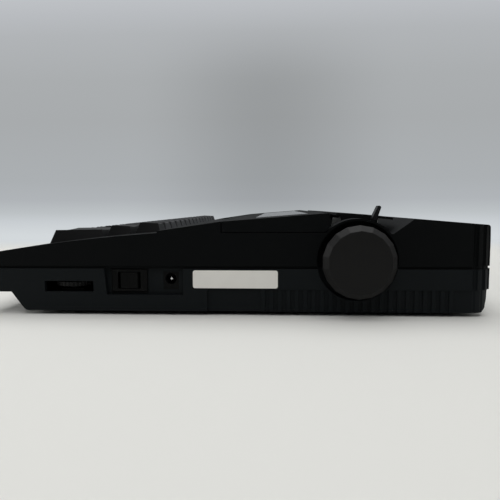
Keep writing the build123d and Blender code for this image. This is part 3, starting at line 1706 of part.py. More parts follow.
window_y = (window_front + window_rear) / 2
lid_plane = Plane(
    origin=(case_x, window_y, lid_rear_z - (lid_rear_y - window_y) * tan(lid_slope)),
    x_dir=(1, 0, 0),
    z_dir=(0, -sin(lid_slope), cos(lid_slope)),
)
with BuildPart() as printer_lid:
    with BuildSketch(yz(left_x)):
        add(lid_outline(0))
    extrude(amount=case_width)
    with BuildSketch(yz(left_x + lid_wall)):
        add(lid_outline(lid_wall))
    extrude(amount=case_width - 2 * lid_wall, mode=Mode.SUBTRACT)
    # the tail clears the knob cup
    with BuildSketch(yz(right_x - cup_depth - cup_floor - 1)):
        with Locations((platen_y, platen_z)):
            Circle(cup_r + cup_wall + 0.6)
    extrude(amount=cup_depth + cup_floor + 2, mode=Mode.SUBTRACT)
    # behind the hinge the skirts are cut away, so that they swing clear of the landing
    with BuildSketch(yz(left_x)):
        with BuildLine():
            Polyline(
                (hinge_y + 0.6, lid_land_z),
                (hinge_y + 0.6, lid_land_z + lid_gap),
                (hinge_y + swing_r * cos(radians(-49)), hinge_z + swing_r * sin(radians(-49))),
                (lid_end_y, hinge_z - sqrt(swing_r ** 2 - (lid_end_y - hinge_y) ** 2)),
                (lid_end_y + 1, hinge_z - 1),
                (lid_end_y + 1, lid_land_z),
                close=True,
            )
        make_face()
    extrude(amount=case_width, mode=Mode.SUBTRACT)
    # window opening and its rebate
    with BuildSketch(lid_plane.offset(-2 * lid_wall)):
        Rectangle(window_length - 2 * window_ledge, window_depth - 2 * window_ledge)
    extrude(amount=4 * lid_wall, mode=Mode.SUBTRACT)
    with BuildSketch(lid_plane.offset(-window_thickness)):
        Rectangle(window_length, window_depth)
    extrude(amount=4, mode=Mode.SUBTRACT)
    for side in (-1, 1):
        lug_inner = case_x + side * (case_width / 2 - lug_side - lug_thickness)
        ear_x = lug_inner - side * (apart + ear_thickness / 2)
        with BuildSketch(yz(ear_x - ear_thickness / 2)):
            with Locations((hinge_y, hinge_z)):
                Circle(hinge_r)
            with Locations((hinge_y, hinge_z)):
                Rectangle(2 * hinge_r, hinge_r + 1.4, align=(Align.CENTER, Align.MIN))
            with Locations((hinge_y, hinge_z)):
                Circle(hinge_pin_r + running, mode=Mode.SUBTRACT)
        extrude(amount=ear_thickness)
        # room for the lug, and a notch behind it
        lug_x = case_x + side * (case_width / 2 - lug_side - lug_thickness / 2)
        with BuildSketch(yz(lug_x - lug_thickness / 2 - apart)):
            with Locations((hinge_y, hinge_z)):
                Circle(hinge_r + apart + 0.1)
            with Locations((hinge_y, hinge_z + 1.6)):
                Rectangle(8, 10, align=(Align.MIN, Align.MAX))
        extrude(amount=lug_thickness + 2 * apart, mode=Mode.SUBTRACT)
save(printer_lid, "printer_lid")

with BuildPart() as lid_window:
    with BuildSketch(lid_plane.offset(-window_thickness)):
        Rectangle(window_length - 2 * window_fit, window_depth - 2 * window_fit)
    extrude(amount=window_thickness)
save(lid_window, "lid_window")

with BuildPart() as lid_hinge_pins:
    for side in (-1, 1):
        pin_outer = case_x + side * (case_width / 2 - lug_side)
        with BuildSketch(yz(pin_outer)):
            with Locations((hinge_y, hinge_z)):
                Circle(hinge_pin_r)
        extrude(amount=-side * (lug_thickness + apart + ear_thickness + 0.3))
save(lid_hinge_pins, "lid_hinge_pins")
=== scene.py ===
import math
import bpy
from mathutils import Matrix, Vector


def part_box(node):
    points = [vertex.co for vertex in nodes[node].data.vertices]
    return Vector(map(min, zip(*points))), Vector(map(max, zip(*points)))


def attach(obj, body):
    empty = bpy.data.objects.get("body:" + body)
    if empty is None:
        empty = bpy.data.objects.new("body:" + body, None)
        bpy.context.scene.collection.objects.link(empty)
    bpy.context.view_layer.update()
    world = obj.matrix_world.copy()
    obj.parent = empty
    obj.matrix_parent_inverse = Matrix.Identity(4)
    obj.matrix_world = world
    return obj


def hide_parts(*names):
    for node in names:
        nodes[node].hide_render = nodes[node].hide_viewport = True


bl_info = {
    "name": "Portable Electronic Typewriter",
    "version": (1, 0, 0),
    "blender": (4, 5, 0),
    "location": "View3D > Sidebar > Typewriter",
    "description": "Finishes a portable electronic typewriter and adds its knob, label and legends",
    "category": "Object",
}

import bpy
from mathutils import Matrix, Vector

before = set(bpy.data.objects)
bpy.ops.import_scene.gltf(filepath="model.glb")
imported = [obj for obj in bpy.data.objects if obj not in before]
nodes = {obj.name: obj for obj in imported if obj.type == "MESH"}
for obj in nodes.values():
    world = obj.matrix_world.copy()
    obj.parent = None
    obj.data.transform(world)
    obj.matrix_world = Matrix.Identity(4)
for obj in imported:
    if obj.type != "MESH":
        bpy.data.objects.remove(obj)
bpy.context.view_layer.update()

MM = 0.001

# Stations of the machine, in metres in the frame of the part
CASE_RIGHT = 0.16925
KEY_PITCH = 0.01905
KEY_TILT = math.radians(5.7)
KEY_ORIGIN = Vector((-0.1405, -0.04995, 0.0558))    # rear left corner of the key tops
KEY_ALONG = Vector((0.0, math.cos(KEY_TILT), math.sin(KEY_TILT)))
KEY_OUT = Vector((0.0, -math.sin(KEY_TILT), math.cos(KEY_TILT)))

# A Mix node's two colour inputs and its colour output
MIX_FROM, MIX_TO, MIX_COLOUR = 6, 7, 2


# Materials

def linear(value):
    """An sRGB hex colour as linear red, green, blue and alpha."""
    channels = [int(value[i:i + 2], 16) / 255 for i in (1, 3, 5)]
    return tuple(
        c / 12.92 if c <= 0.04045 else ((c + 0.055) / 1.055) ** 2.4 for c in channels
    ) + (1.0,)


def toned(colour, factor, lift=0.0):
    """A linear colour made lighter or darker by a factor and a lift."""
    return tuple(min(1.0, c * factor + lift) for c in colour[:3]) + (1.0,)


def node(material, kind, settings=None, **links):
    """Adds a node to a material or a world. The settings fill its fields and sockets, and the
    links join a socket to its source, by the socket's name or as _0, _1 and so on."""
    made = material.node_tree.nodes.new(kind)
    for name, value in (settings or {}).items():
        if isinstance(name, int) or name in made.inputs:
            made.inputs[name].default_value = value
        else:
            setattr(made, name, value)
    for name, source in links.items():
        socket = int(name[1:]) if name[0] == "_" else name.replace("_", " ")
        material.node_tree.links.new(source, made.inputs[socket])
    return made


def blank_material(name):
    material = bpy.data.materials.new(name)
    material.use_nodes = True
    material.node_tree.nodes.clear()
    return material


def finish_material(material, shader):
    node(material, "ShaderNodeOutputMaterial", Surface=shader.outputs[0])
    return material


def moulded_plastic(
        name, colour, roughness, grain_mm, grain_depth_mm, edge_mm, specular=0.5, mottle=0.12):
    """ABS or a like plastic from a spark-eroded mould: an even, fine grain that breaks up every
    highlight, slow patches of tone, and edges rounded by the mould, which catch thin lines of
    light."""
    patch_mm = 28
    unevenness = 0.05
    material = blank_material(name)
    place = node(material, "ShaderNodeTexCoord")
    grain = node(
        material, "ShaderNodeTexNoise",
        {"Scale": 1 / (grain_mm * MM), "Detail": 3.0, "Roughness": 0.6},
        Vector=place.outputs["Object"],
    )
    patches = node(
        material, "ShaderNodeTexNoise",
        {"Scale": 1 / (patch_mm * MM), "Detail": 4.0, "Roughness": 0.55},
        Vector=place.outputs["Object"],
    )
    base = linear(colour)
    tint = node(
        material, "ShaderNodeMix",
        {"data_type": "RGBA", MIX_FROM: toned(base, 1 - mottle), MIX_TO: toned(base, 1 + mottle)},
        _0=patches.outputs["Fac"],
    )
    wear = node(
        material, "ShaderNodeMapRange",
        {"From Min": 0.3, "From Max": 0.7,
         "To Min": roughness - unevenness, "To Max": roughness + unevenness},
        Value=patches.outputs["Fac"],
    )
    edge = node(material, "ShaderNodeBevel", {"samples": 4, "Radius": edge_mm * MM})
    relief = node(
        material, "ShaderNodeBump",
        {"Strength": 0.35, "Distance": grain_depth_mm * MM},
        Height=grain.outputs["Fac"], Normal=edge.outputs["Normal"],
    )
    shader = node(
        material, "ShaderNodeBsdfPrincipled",
        {"IOR": 1.5, "Specular IOR Level": specular},
        Base_Color=tint.outputs[MIX_COLOUR],
        Roughness=wear.outputs["Result"],
        Normal=relief.outputs["Normal"],
    )
    return finish_material(material, shader)


def rolled_steel(name, colour, roughness, line_mm, along):
    """Zinc-plated sheet or ground bar: faint lines run the way it was rolled or turned."""
    line_depth_mm = 0.02
    line_shade = 0.86
    material = blank_material(name)
    place = node(material, "ShaderNodeTexCoord")
    stretch = node(
        material, "ShaderNodeMapping",
        {"Scale": tuple(1.0 if axis == along else 1 / (line_mm * MM) for axis in "XYZ")},
        Vector=place.outputs["Object"],
    )
    lines = node(
        material, "ShaderNodeTexNoise", {"Scale": 1.0, "Detail": 2.0},
        Vector=stretch.outputs["Vector"],
    )
    base = linear(colour)
    tint = node(
        material, "ShaderNodeMix",
        {"data_type": "RGBA", MIX_FROM: toned(base, line_shade), MIX_TO: base},
        _0=lines.outputs["Fac"],
    )
    sheen = node(
        material, "ShaderNodeMapRange",
        {"To Min": roughness - 0.06, "To Max": roughness + 0.08},
        Value=lines.outputs["Fac"],
    )
    relief = node(
        material, "ShaderNodeBump", {"Strength": 0.12, "Distance": line_depth_mm * MM},
        Height=lines.outputs["Fac"],
    )
    shader = node(
        material, "ShaderNodeBsdfPrincipled", {"Metallic": 1.0},
        Base_Color=tint.outputs[MIX_COLOUR],
        Roughness=sheen.outputs["Result"],
        Normal=relief.outputs["Normal"],
    )
    return finish_material(material, shader)


def rubber(name, colour, roughness):
    """Ground or moulded rubber: matt, with a slight bloom of paler dust."""
    dust_mm = 4
    pore_mm = 0.4
    pore_depth_mm = 0.05
    material = blank_material(name)
    place = node(material, "ShaderNodeTexCoord")
    dust = node(
        material, "ShaderNodeTexNoise",
        {"Scale": 1 / (dust_mm * MM), "Detail": 6.0, "Roughness": 0.7},
        Vector=place.outputs["Object"],
    )
    pores = node(
        material, "ShaderNodeTexNoise", {"Scale": 1 / (pore_mm * MM), "Detail": 2.0},
        Vector=place.outputs["Object"],
    )
    base = linear(colour)
    tint = node(
        material, "ShaderNodeMix",
        {"data_type": "RGBA", MIX_FROM: base, MIX_TO: toned(base, 1.5, 0.004)},
        _0=dust.outputs["Fac"],
    )
    relief = node(
        material, "ShaderNodeBump", {"Strength": 0.3, "Distance": pore_depth_mm * MM},
        Height=pores.outputs["Fac"],
    )
    shader = node(
        material, "ShaderNodeBsdfPrincipled", {"Roughness": roughness, "IOR": 1.52},
        Base_Color=tint.outputs[MIX_COLOUR],
        Normal=relief.outputs["Normal"],
    )
    return finish_material(material, shader)


def clear_plastic(name, colour, transmission, roughness):
    """Tinted acrylic: smooth and glossy, with a little haze from handling."""
    haze_mm = 12
    material = blank_material(name)
    place = node(material, "ShaderNodeTexCoord")
    haze = node(
        material, "ShaderNodeTexNoise", {"Scale": 1 / (haze_mm * MM), "Detail": 5.0},
        Vector=place.outputs["Object"],
    )
    gloss = node(
        material, "ShaderNodeMapRange",
        {"To Min": roughness, "To Max": roughness + 0.10},
        Value=haze.outputs["Fac"],
    )
    shader = node(
        material, "ShaderNodeBsdfPrincipled",
        {"Base Color": linear(colour), "IOR": 1.49, "Transmission Weight": transmission},
        Roughness=gloss.outputs["Result"],
    )
    return finish_material(material, shader)


def circuit_board(name, colour, copper):
    """Glass-fibre board under green resist: copper tracks show as paler lines."""
    track_cell_mm = 9
    track_depth_mm = 0.03
    material = blank_material(name)
    place = node(material, "ShaderNodeTexCoord")
    tracks = node(
        material, "ShaderNodeTexBrick",
        {"Scale": 1 / (track_cell_mm * MM), "Mortar Size": 0.09, "Mortar Smooth": 0.1,
         "Color1": linear(colour), "Color2": linear(colour), "Mortar": linear(copper),
         "Brick Width": 0.7, "Row Height": 0.22},
        Vector=place.outputs["Object"],
    )
    relief = node(
        material, "ShaderNodeBump", {"Strength": 0.2, "Distance": track_depth_mm * MM},
        Height=tracks.outputs["Fac"],
    )
    shader = node(
        material, "ShaderNodeBsdfPrincipled", {"Roughness": 0.34, "IOR": 1.52},
        Base_Color=tracks.outputs["Color"],
        Normal=relief.outputs["Normal"],
    )
    return finish_material(material, shader)


def printed_film(name, colour):
    """Vinyl film or pad-printed ink: pale, satin, with faint unevenness from what is under it."""
    ageing_mm = 9
    ageing_depth_mm = 0.05
    material = blank_material(name)
    place = node(material, "ShaderNodeTexCoord")
    ageing = node(
        material, "ShaderNodeTexNoise", {"Scale": 1 / (ageing_mm * MM), "Detail": 5.0},
        Vector=place.outputs["Object"],
    )
    base = linear(colour)
    tint = node(
        material, "ShaderNodeMix",
        {"data_type": "RGBA", MIX_FROM: toned(base, 0.93), MIX_TO: base},
        _0=ageing.outputs["Fac"],
    )
    relief = node(
        material, "ShaderNodeBump", {"Strength": 0.1, "Distance": ageing_depth_mm * MM},
        Height=ageing.outputs["Fac"],
    )
    shader = node(
        material, "ShaderNodeBsdfPrincipled", {"Roughness": 0.42, "IOR": 1.5},
        Base_Color=tint.outputs[MIX_COLOUR],
        Normal=relief.outputs["Normal"],
    )
    return finish_material(material, shader)


# Sizes and colours that a user would change

class TypewriterFinishes(bpy.types.PropertyGroup):
    upper: bpy.props.StringProperty(
        name="Upper case", description="Colour of the upper case and the lid, as sRGB hex",
        default="#060809")
    lower: bpy.props.StringProperty(
        name="Lower case", description="Colour of the lower case, as sRGB hex", default="#101416")
    knob: bpy.props.StringProperty(
        name="Knob", description="Colour of the platen knob, as sRGB hex", default="#090909")
    letter_keys: bpy.props.StringProperty(
        name="Letter keys", description="Colour of the letter keys and the space bar, as sRGB hex",
        default="#242527")
    other_keys: bpy.props.StringProperty(
        name="Other keys", description="Colour of the command keys, as sRGB hex",
        default="#060708")
    grain: bpy.props.FloatProperty(
        name="Grain", description="Width of the moulded grain in millimetres", default=0.45,
        min=0.1, max=2.0)
    edge: bpy.props.FloatProperty(
        name="Edge", description="Radius of the moulded edges in millimetres", default=0.5,
        min=0.0, max=2.0)


class TypewriterLabel(bpy.types.PropertyGroup):
    front: bpy.props.FloatProperty(
        name="Front end", description="Place of the label's front end", default=-0.0245,
        unit="LENGTH")
    rear: bpy.props.FloatProperty(
        name="Rear end", description="Place of the label's rear end", default=0.0266,
        unit="LENGTH")
    bottom: bpy.props.FloatProperty(
        name="Bottom", description="Height of the label's lower edge", default=0.0167,
        unit="LENGTH")
    top: bpy.props.FloatProperty(
        name="Top", description="Height of the label's upper edge", default=0.0275,
        unit="LENGTH")
    corner: bpy.props.FloatProperty(
        name="Corner", description="Radius of the label's corners", default=0.0013,
        unit="LENGTH")
    thickness: bpy.props.FloatProperty(
        name="Thickness", description="Thickness of the label", default=0.0002, unit="LENGTH")
    colour: bpy.props.StringProperty(
        name="Colour", description="Colour of the label, as sRGB hex", default="#f0eee8")


class TypewriterKnob(bpy.types.PropertyGroup):
    facets: bpy.props.IntProperty(
        name="Facets", description="Number of facets round the grip", default=18, min=6)
    turn: bpy.props.FloatProperty(
        name="Turn", description="Turn of the first ridge from level", default=math.radians(10),
        unit="ROTATION")
    face: bpy.props.FloatProperty(
        name="Face", description="Radius of the flat face", default=0.0183, unit="LENGTH")
    cone: bpy.props.FloatProperty(
        name="Cone", description="Depth of the conical grip", default=0.0037, unit="LENGTH")
    rim_width: bpy.props.FloatProperty(
        name="Rim", description="Width of the rim behind the cone", default=0.0016,
        unit="LENGTH")
    shoulder: bpy.props.FloatProperty(
        name="Shoulder", description="Step from the rim in to the neck", default=0.0024,
        unit="LENGTH")
    ridge: bpy.props.FloatProperty(
        name="Ridge", description="Bevel of the ridges between facets", default=0.00018,
        unit="LENGTH")
    face_edge: bpy.props.FloatProperty(
        name="Face edge", description="Bevel round the face", default=0.0003, unit="LENGTH")


class TypewriterLegends(bpy.types.PropertyGroup):
    height: bpy.props.FloatProperty(
        name="Height", description="Height of the letters on the keys", default=0.0038,
        unit="LENGTH")
    depth: bpy.props.FloatProperty(
        name="Depth", description="Depth of the letters, half of it inside the key",
        default=0.00024, unit="LENGTH")
    rise: bpy.props.FloatProperty(
        name="Rise", description="Height of the letters' middle over the dish",
        default=0.00002, unit="LENGTH")
    colour: bpy.props.StringProperty(
        name="Colour", description="Colour of the letters, as sRGB hex", default="#c9cac6")


class TypewriterStage(bpy.types.PropertyGroup):
    lens: bpy.props.FloatProperty(
        name="Lens", description="Focal length of the camera in millimetres", default=34.49)
    floor: bpy.props.StringProperty(
        name="Floor", description="Colour of the floor, as sRGB hex", default="#dcdcd8")
    lamp: bpy.props.FloatProperty(
        name="Lamp", description="Power of the overhead softbox", default=20.5, min=0.0,
        unit="POWER")
    side: bpy.props.FloatProperty(
        name="Side", description="Power of the window on the left; the right one has half",
        default=6.0, min=0.0, unit="POWER")
    fill: bpy.props.FloatProperty(
        name="Fill", description="Power of the softbox above the camera", default=6.5, min=0.0,
        unit="POWER")


# Helpers for modelling

def deselect():
    if bpy.context.mode != "OBJECT":
        bpy.ops.object.mode_set(mode="OBJECT")
    bpy.ops.object.select_all(action="DESELECT")


def select_parts(piece, kind, wanted):
    """Leaves edit mode open with only those faces or edges selected whose corners are wanted."""
    bpy.ops.object.mode_set(mode="EDIT")
    bpy.ops.mesh.select_mode(type=kind)
    bpy.ops.mesh.select_all(action="DESELECT")
    bpy.ops.object.mode_set(mode="OBJECT")
    places = [corner.co for corner in piece.data.vertices]
    for part in piece.data.polygons if kind == "FACE" else piece.data.edges:
        part.select = wanted([places[i] for i in part.vertices])
    bpy.ops.object.mode_set(mode="EDIT")


def settle(obj, name):
    """Gives the piece its name and moves its place into its mesh."""
    deselect()
    obj.select_set(True)
    bpy.context.view_layer.objects.active = obj
    bpy.ops.object.transform_apply(location=True, rotation=True, scale=True)
    obj.name = name
    obj.data.name = name
    return obj


def paint(obj, material):
    obj.data.materials.clear()
    obj.data.materials.append(material)


def paint_nodes(names, material):
    for name in names:
        paint(nodes[name], material)


# Operators

class TYPEWRITER_OT_plastics(bpy.types.Operator):
    """Finishes the moulded case, the keys and the small mouldings"""
    bl_idname = "typewriter.plastics"
    bl_label = "Plastics"

    def execute(self, context):
        chosen = context.scene.typewriter_finishes
        grain = chosen.grain
        edge = chosen.edge
        # The upper half is nearly matt, and the lower one a shade paler with a little sheen
        upper = moulded_plastic("charcoal_abs_upper", chosen.upper, 0.68, grain, 0.05, edge, 0.08)
        paint_nodes(["upper_case", "printer_lid"], upper)
        lower = moulded_plastic("charcoal_abs_lower", chosen.lower, 0.55, grain, 0.05, edge, 0.10)
        paint_nodes(["lower_case", "battery_door"], lower)
        # Keys have a finer grain, worn a little smooth by the fingers
        letters = moulded_plastic("letter_key_abs", chosen.letter_keys, 0.5, 0.3, 0.03, 0.5, 0.15)
        paint_nodes(["number_row", "upper_row", "home_row", "lower_row", "space_bar"], letters)
        others = moulded_plastic("command_key_abs", chosen.other_keys, 0.5, 0.3, 0.03, 0.5, 0.15)
        paint_nodes(
            ["correct_key", "tab_key", "index_key", "lock_key", "left_shift", "right_shift",
             "code_key", "mode_key", "return_key"], others)
        # Switch, inlet, bezel and bushes are a deep black that hardly shows a highlight
        trim = moulded_plastic("trim_pbt", "#020303", 0.42, 0.3, 0.02, 0.25, 0.10)
        paint_nodes(
            ["power_switch", "power_rocker", "dc_inlet", "density_control", "display_bezel",
             "platen_bushes"], trim)
        cover = moulded_plastic("cover_abs", "#0f1112", 0.6, grain, 0.04, 0.4, 0.12)
        paint_nodes(["paper_cover"], cover)
        wheel = moulded_plastic("wheel_abs", "#040405", 0.5, 0.3, 0.02, 0.2, 0.2)
        paint_nodes(["density_wheel"], wheel)
        # Mouldings inside are plain: dark grey, ivory and a glossy black
        mechanism = moulded_plastic("carriage_polycarbonate", "#2d2e30", 0.45, 0.5, 0.03, 0.3)
        paint_nodes(["carriage", "paper_pan"], mechanism)
        gears = moulded_plastic("gear_acetal", "#cfc9b6", 0.35, 0.8, 0.01, 0.15, 0.5, 0.04)
        paint_nodes(
            ["platen_gear", "idler_gear", "motor_pinion", "drive_pulley", "idle_pulley"], gears)
        cassette = moulded_plastic("cassette_styrene", "#131315", 0.25, 1.2, 0.01, 0.3)
        paint_nodes(["ribbon_cassette"], cassette)
        return {"FINISHED"}


class TYPEWRITER_OT_metals(bpy.types.Operator):
    """Finishes frames, shafts, screws, contacts and the painted keyboard plate"""
    bl_idname = "typewriter.metals"
    bl_label = "Metals"

    def execute(self, context):
        # Sheet keeps its rolling lines, and turned bar shines along its length
        plate = rolled_steel("zinc_plated_sheet", "#b4b6b5", 0.36, 0.5, "Y")
        paint_nodes(
            ["side_frame_left", "side_frame_right", "carriage_rail", "feed_motor",
             "carriage_motor", "belt_tensioner", "pinch_frame", "print_head"], plate)
        bar = rolled_steel("ground_steel_bar", "#c8c9ca", 0.18, 0.3, "X")
        paint_nodes(["platen_shaft", "guide_shaft", "lid_hinge_pins", "dc_pin"], bar)
        screws = rolled_steel("blackened_screw", "#55565a", 0.38, 0.3, "Z")
        paint_nodes(["case_screws", "frame_screws"], screws)
        lever = rolled_steel("lever_steel", "#2b2c2e", 0.42, 0.4, "Z")
        paint_nodes(["release_lever"], lever)
        brass = rolled_steel("contact_brass", "#c9a860", 0.3, 0.4, "Z")
        paint_nodes(["battery_contacts"], brass)
        # The plate between the keys is sprayed black, so the eye sees paint and no steel
        painted = moulded_plastic("plate_black_paint", "#0c0d0e", 0.6, 0.8, 0.02, 0.1, 0.2)
        paint_nodes(["keyboard_plate"], painted)
        return {"FINISHED"}


class TYPEWRITER_OT_rubbers(bpy.types.Operator):
    """Finishes the platen, rollers, belt and feet"""
    bl_idname = "typewriter.rubbers"
    bl_label = "Rubbers"

    def execute(self, context):
        paint_nodes(["platen_roller"], rubber("platen_rubber", "#1b1b1c", 0.62))
        paint_nodes(["pinch_rollers", "timing_belt"], rubber("roller_rubber", "#242425", 0.7))
        paint_nodes(["rubber_feet"], rubber("foot_rubber", "#101010", 0.8))
        return {"FINISHED"}


class TYPEWRITER_OT_windows(bpy.types.Operator):
    """Finishes the lid's window, the display and the boards"""
    bl_idname = "typewriter.windows"
    bl_label = "Windows and boards"

    def execute(self, context):
        paint_nodes(["lid_window"], clear_plastic("smoked_acrylic", "#3c3e42", 0.75, 0.06))
        paint_nodes(["display_glass"], clear_plastic("display_acrylic", "#39423a", 0.25, 0.08))
        board = circuit_board("resist_green", "#16402a", "#2f6b45")
        paint_nodes(["main_board", "switch_board"], board)
        return {"FINISHED"}


class TYPEWRITER_OT_label(bpy.types.Operator):
    """Adds the blank label on the right side of the lower case"""
    bl_idname = "typewriter.label"
    bl_label = "Label"

    def execute(self, context):
        size = context.scene.typewriter_label
        middle = ((size.front + size.rear) / 2, (size.bottom + size.top) / 2)
        deselect()
        bpy.ops.mesh.primitive_plane_add(
            size=1.0, location=(CASE_RIGHT, *middle),
            rotation=(math.radians(90), 0, math.radians(90)))
        plate = bpy.context.object
        plate.scale = (size.rear - size.front, size.top - size.bottom, 1.0)
        settle(plate, "label_plate")
        bpy.ops.object.mode_set(mode="EDIT")
        bpy.ops.mesh.select_all(action="SELECT")
        bpy.ops.mesh.bevel(offset=size.corner, segments=6, affect="VERTICES")
        bpy.ops.mesh.select_all(action="SELECT")
        bpy.ops.mesh.extrude_region_move(
            TRANSFORM_OT_translate={"value": (size.thickness, 0, 0)})
        bpy.ops.mesh.select_all(action="SELECT")
        bpy.ops.mesh.normals_make_consistent(inside=False)
        bpy.ops.object.mode_set(mode="OBJECT")
        paint(plate, printed_film("label_vinyl", size.colour))
        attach(plate, "case")
        return {"FINISHED"}


class TYPEWRITER_OT_knob(bpy.types.Operator):
    """Models the platen knob: a flat face inside a conical grip of many facets"""
    bl_idname = "typewriter.knob"
    bl_label = "Platen knob"

    def execute(self, context):
        size = context.scene.typewriter_knob
        lowest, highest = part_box("platen_knob")
        axis_y, axis_z = ((lowest[i] + highest[i]) / 2 for i in (1, 2))
        rim = (highest[2] - lowest[2]) / 2
        face_x = highest[0]
        rim_x = face_x - size.cone
        neck_x = rim_x - size.rim_width
        deselect()
        turn = Matrix.Rotation(math.radians(90), 3, "Y") @ Matrix.Rotation(size.turn, 3, "Z")
        bpy.ops.mesh.primitive_cone_add(
            vertices=size.facets, radius1=rim, radius2=size.face, depth=size.cone,
            location=(face_x - size.cone / 2, axis_y, axis_z), rotation=turn.to_euler())
        knob = settle(bpy.context.object, "knob_grip")
        # The rear end is drawn out into the rim, and from there stepped in to the neck
        middle_x = (face_x + rim_x) / 2
        select_parts(knob, "FACE", lambda corners: all(c.x < middle_x for c in corners))
        bpy.ops.mesh.extrude_region_move(
            TRANSFORM_OT_translate={"value": (-size.rim_width, 0, 0)})
        bpy.ops.mesh.inset(thickness=size.shoulder)
        bpy.ops.mesh.extrude_region_move(
            TRANSFORM_OT_translate={"value": (lowest[0] - neck_x, 0, 0)})
        # The ridges are the edges that run along the knob's axis
        select_parts(knob, "EDGE", lambda ends: abs(ends[0].x - ends[1].x) > MM)
        bpy.ops.mesh.bevel(offset=size.ridge, segments=2, affect="EDGES")
        select_parts(
            knob, "EDGE", lambda ends: min(c.x for c in ends) > face_x - 0.01 * MM)
        bpy.ops.mesh.bevel(offset=size.face_edge, segments=3, affect="EDGES")
        bpy.ops.mesh.select_all(action="SELECT")
        bpy.ops.mesh.normals_make_consistent(inside=False)
        bpy.ops.object.mode_set(mode="OBJECT")
        chosen = context.scene.typewriter_finishes
        # The knob is a neutral black, next to a bluish case, and smoother from the hand
        plastic = moulded_plastic(
            "knob_abs", chosen.knob, 0.50, chosen.grain, 0.04, 0.15, 0.22, 0.05)
        paint_nodes(["platen_knob"], plastic)
        paint(knob, plastic)
        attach(knob, "platen")
        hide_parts("platen_knob")
        return {"FINISHED"}


class TYPEWRITER_OT_legends(bpy.types.Operator):
    """Adds a plain letter or figure to the top of each typing key"""
    bl_idname = "typewriter.legends"
    bl_label = "Key legends"

    # Row node: units from the left of the key block to its first key, row from the rear, letters
    ROWS = {
        "number_row": (0.0, 1, "`1234567890-=+"),
        "upper_row": (1.5, 2, "QWERTYUIOP[]"),
        "home_row": (1.75, 3, "ASDFGHJKL;'"),
        "lower_row": (1.75, 4, "ZXCVBNM,./"),
    }
    TOP_SHIFT = 0.00175     # the key's top is this far behind the middle of its foot
    CAPITAL_SHARE = 0.7     # height of a capital as a share of the font's size
    ABOVE = 0.02            # the dish is looked for from this far above the keys
    MERGE = 0.000002        # corners closer than this become one

    def execute(self, context):
        size = context.scene.typewriter_legends
        ink = printed_film("legend_ink", size.colour)
        for row, (first, line, letters) in self.ROWS.items():
            placed = [
                self.letter(nodes[row], first + n + 0.5, line - 0.5, letter, size)
                for n, letter in enumerate(letters)
            ]
            deselect()
            for piece in placed:
                piece.select_set(True)
            bpy.context.view_layer.objects.active = placed[0]
            bpy.ops.object.join()
            legends = settle(placed[0], row + "_legends")
            bpy.ops.object.mode_set(mode="EDIT")
            bpy.ops.mesh.select_all(action="SELECT")
            bpy.ops.mesh.remove_doubles(threshold=self.MERGE)
            bpy.ops.mesh.normals_make_consistent(inside=False)
            bpy.ops.object.mode_set(mode="OBJECT")
            paint(legends, ink)
            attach(legends, row + "_body")
        return {"FINISHED"}

    def letter(self, keys, across, down, letter, size):
        """One letter, lying in the dish of the key that is so many units across and down."""
        middle = KEY_ORIGIN + Vector((across * KEY_PITCH, 0, 0))
        middle += KEY_ALONG * (self.TOP_SHIFT - down * KEY_PITCH)
        found, dish, out, face = keys.ray_cast(middle + KEY_OUT * self.ABOVE, -KEY_OUT)
        if not found:
            raise RuntimeError(f"no key under {letter}")
        deselect()
        bpy.ops.object.text_add(location=dish + out * size.rise)
        text = bpy.context.object
        text.rotation_euler = (math.atan2(-out.y, out.z), 0, 0)
        text.data.body = letter
        text.data.size = size.height / self.CAPITAL_SHARE
        text.data.align_x = "CENTER"
        text.data.align_y = "CENTER"
        text.data.extrude = size.depth / 2
        text.data.resolution_u = 4
        bpy.ops.object.convert(target="MESH")
        return bpy.context.object


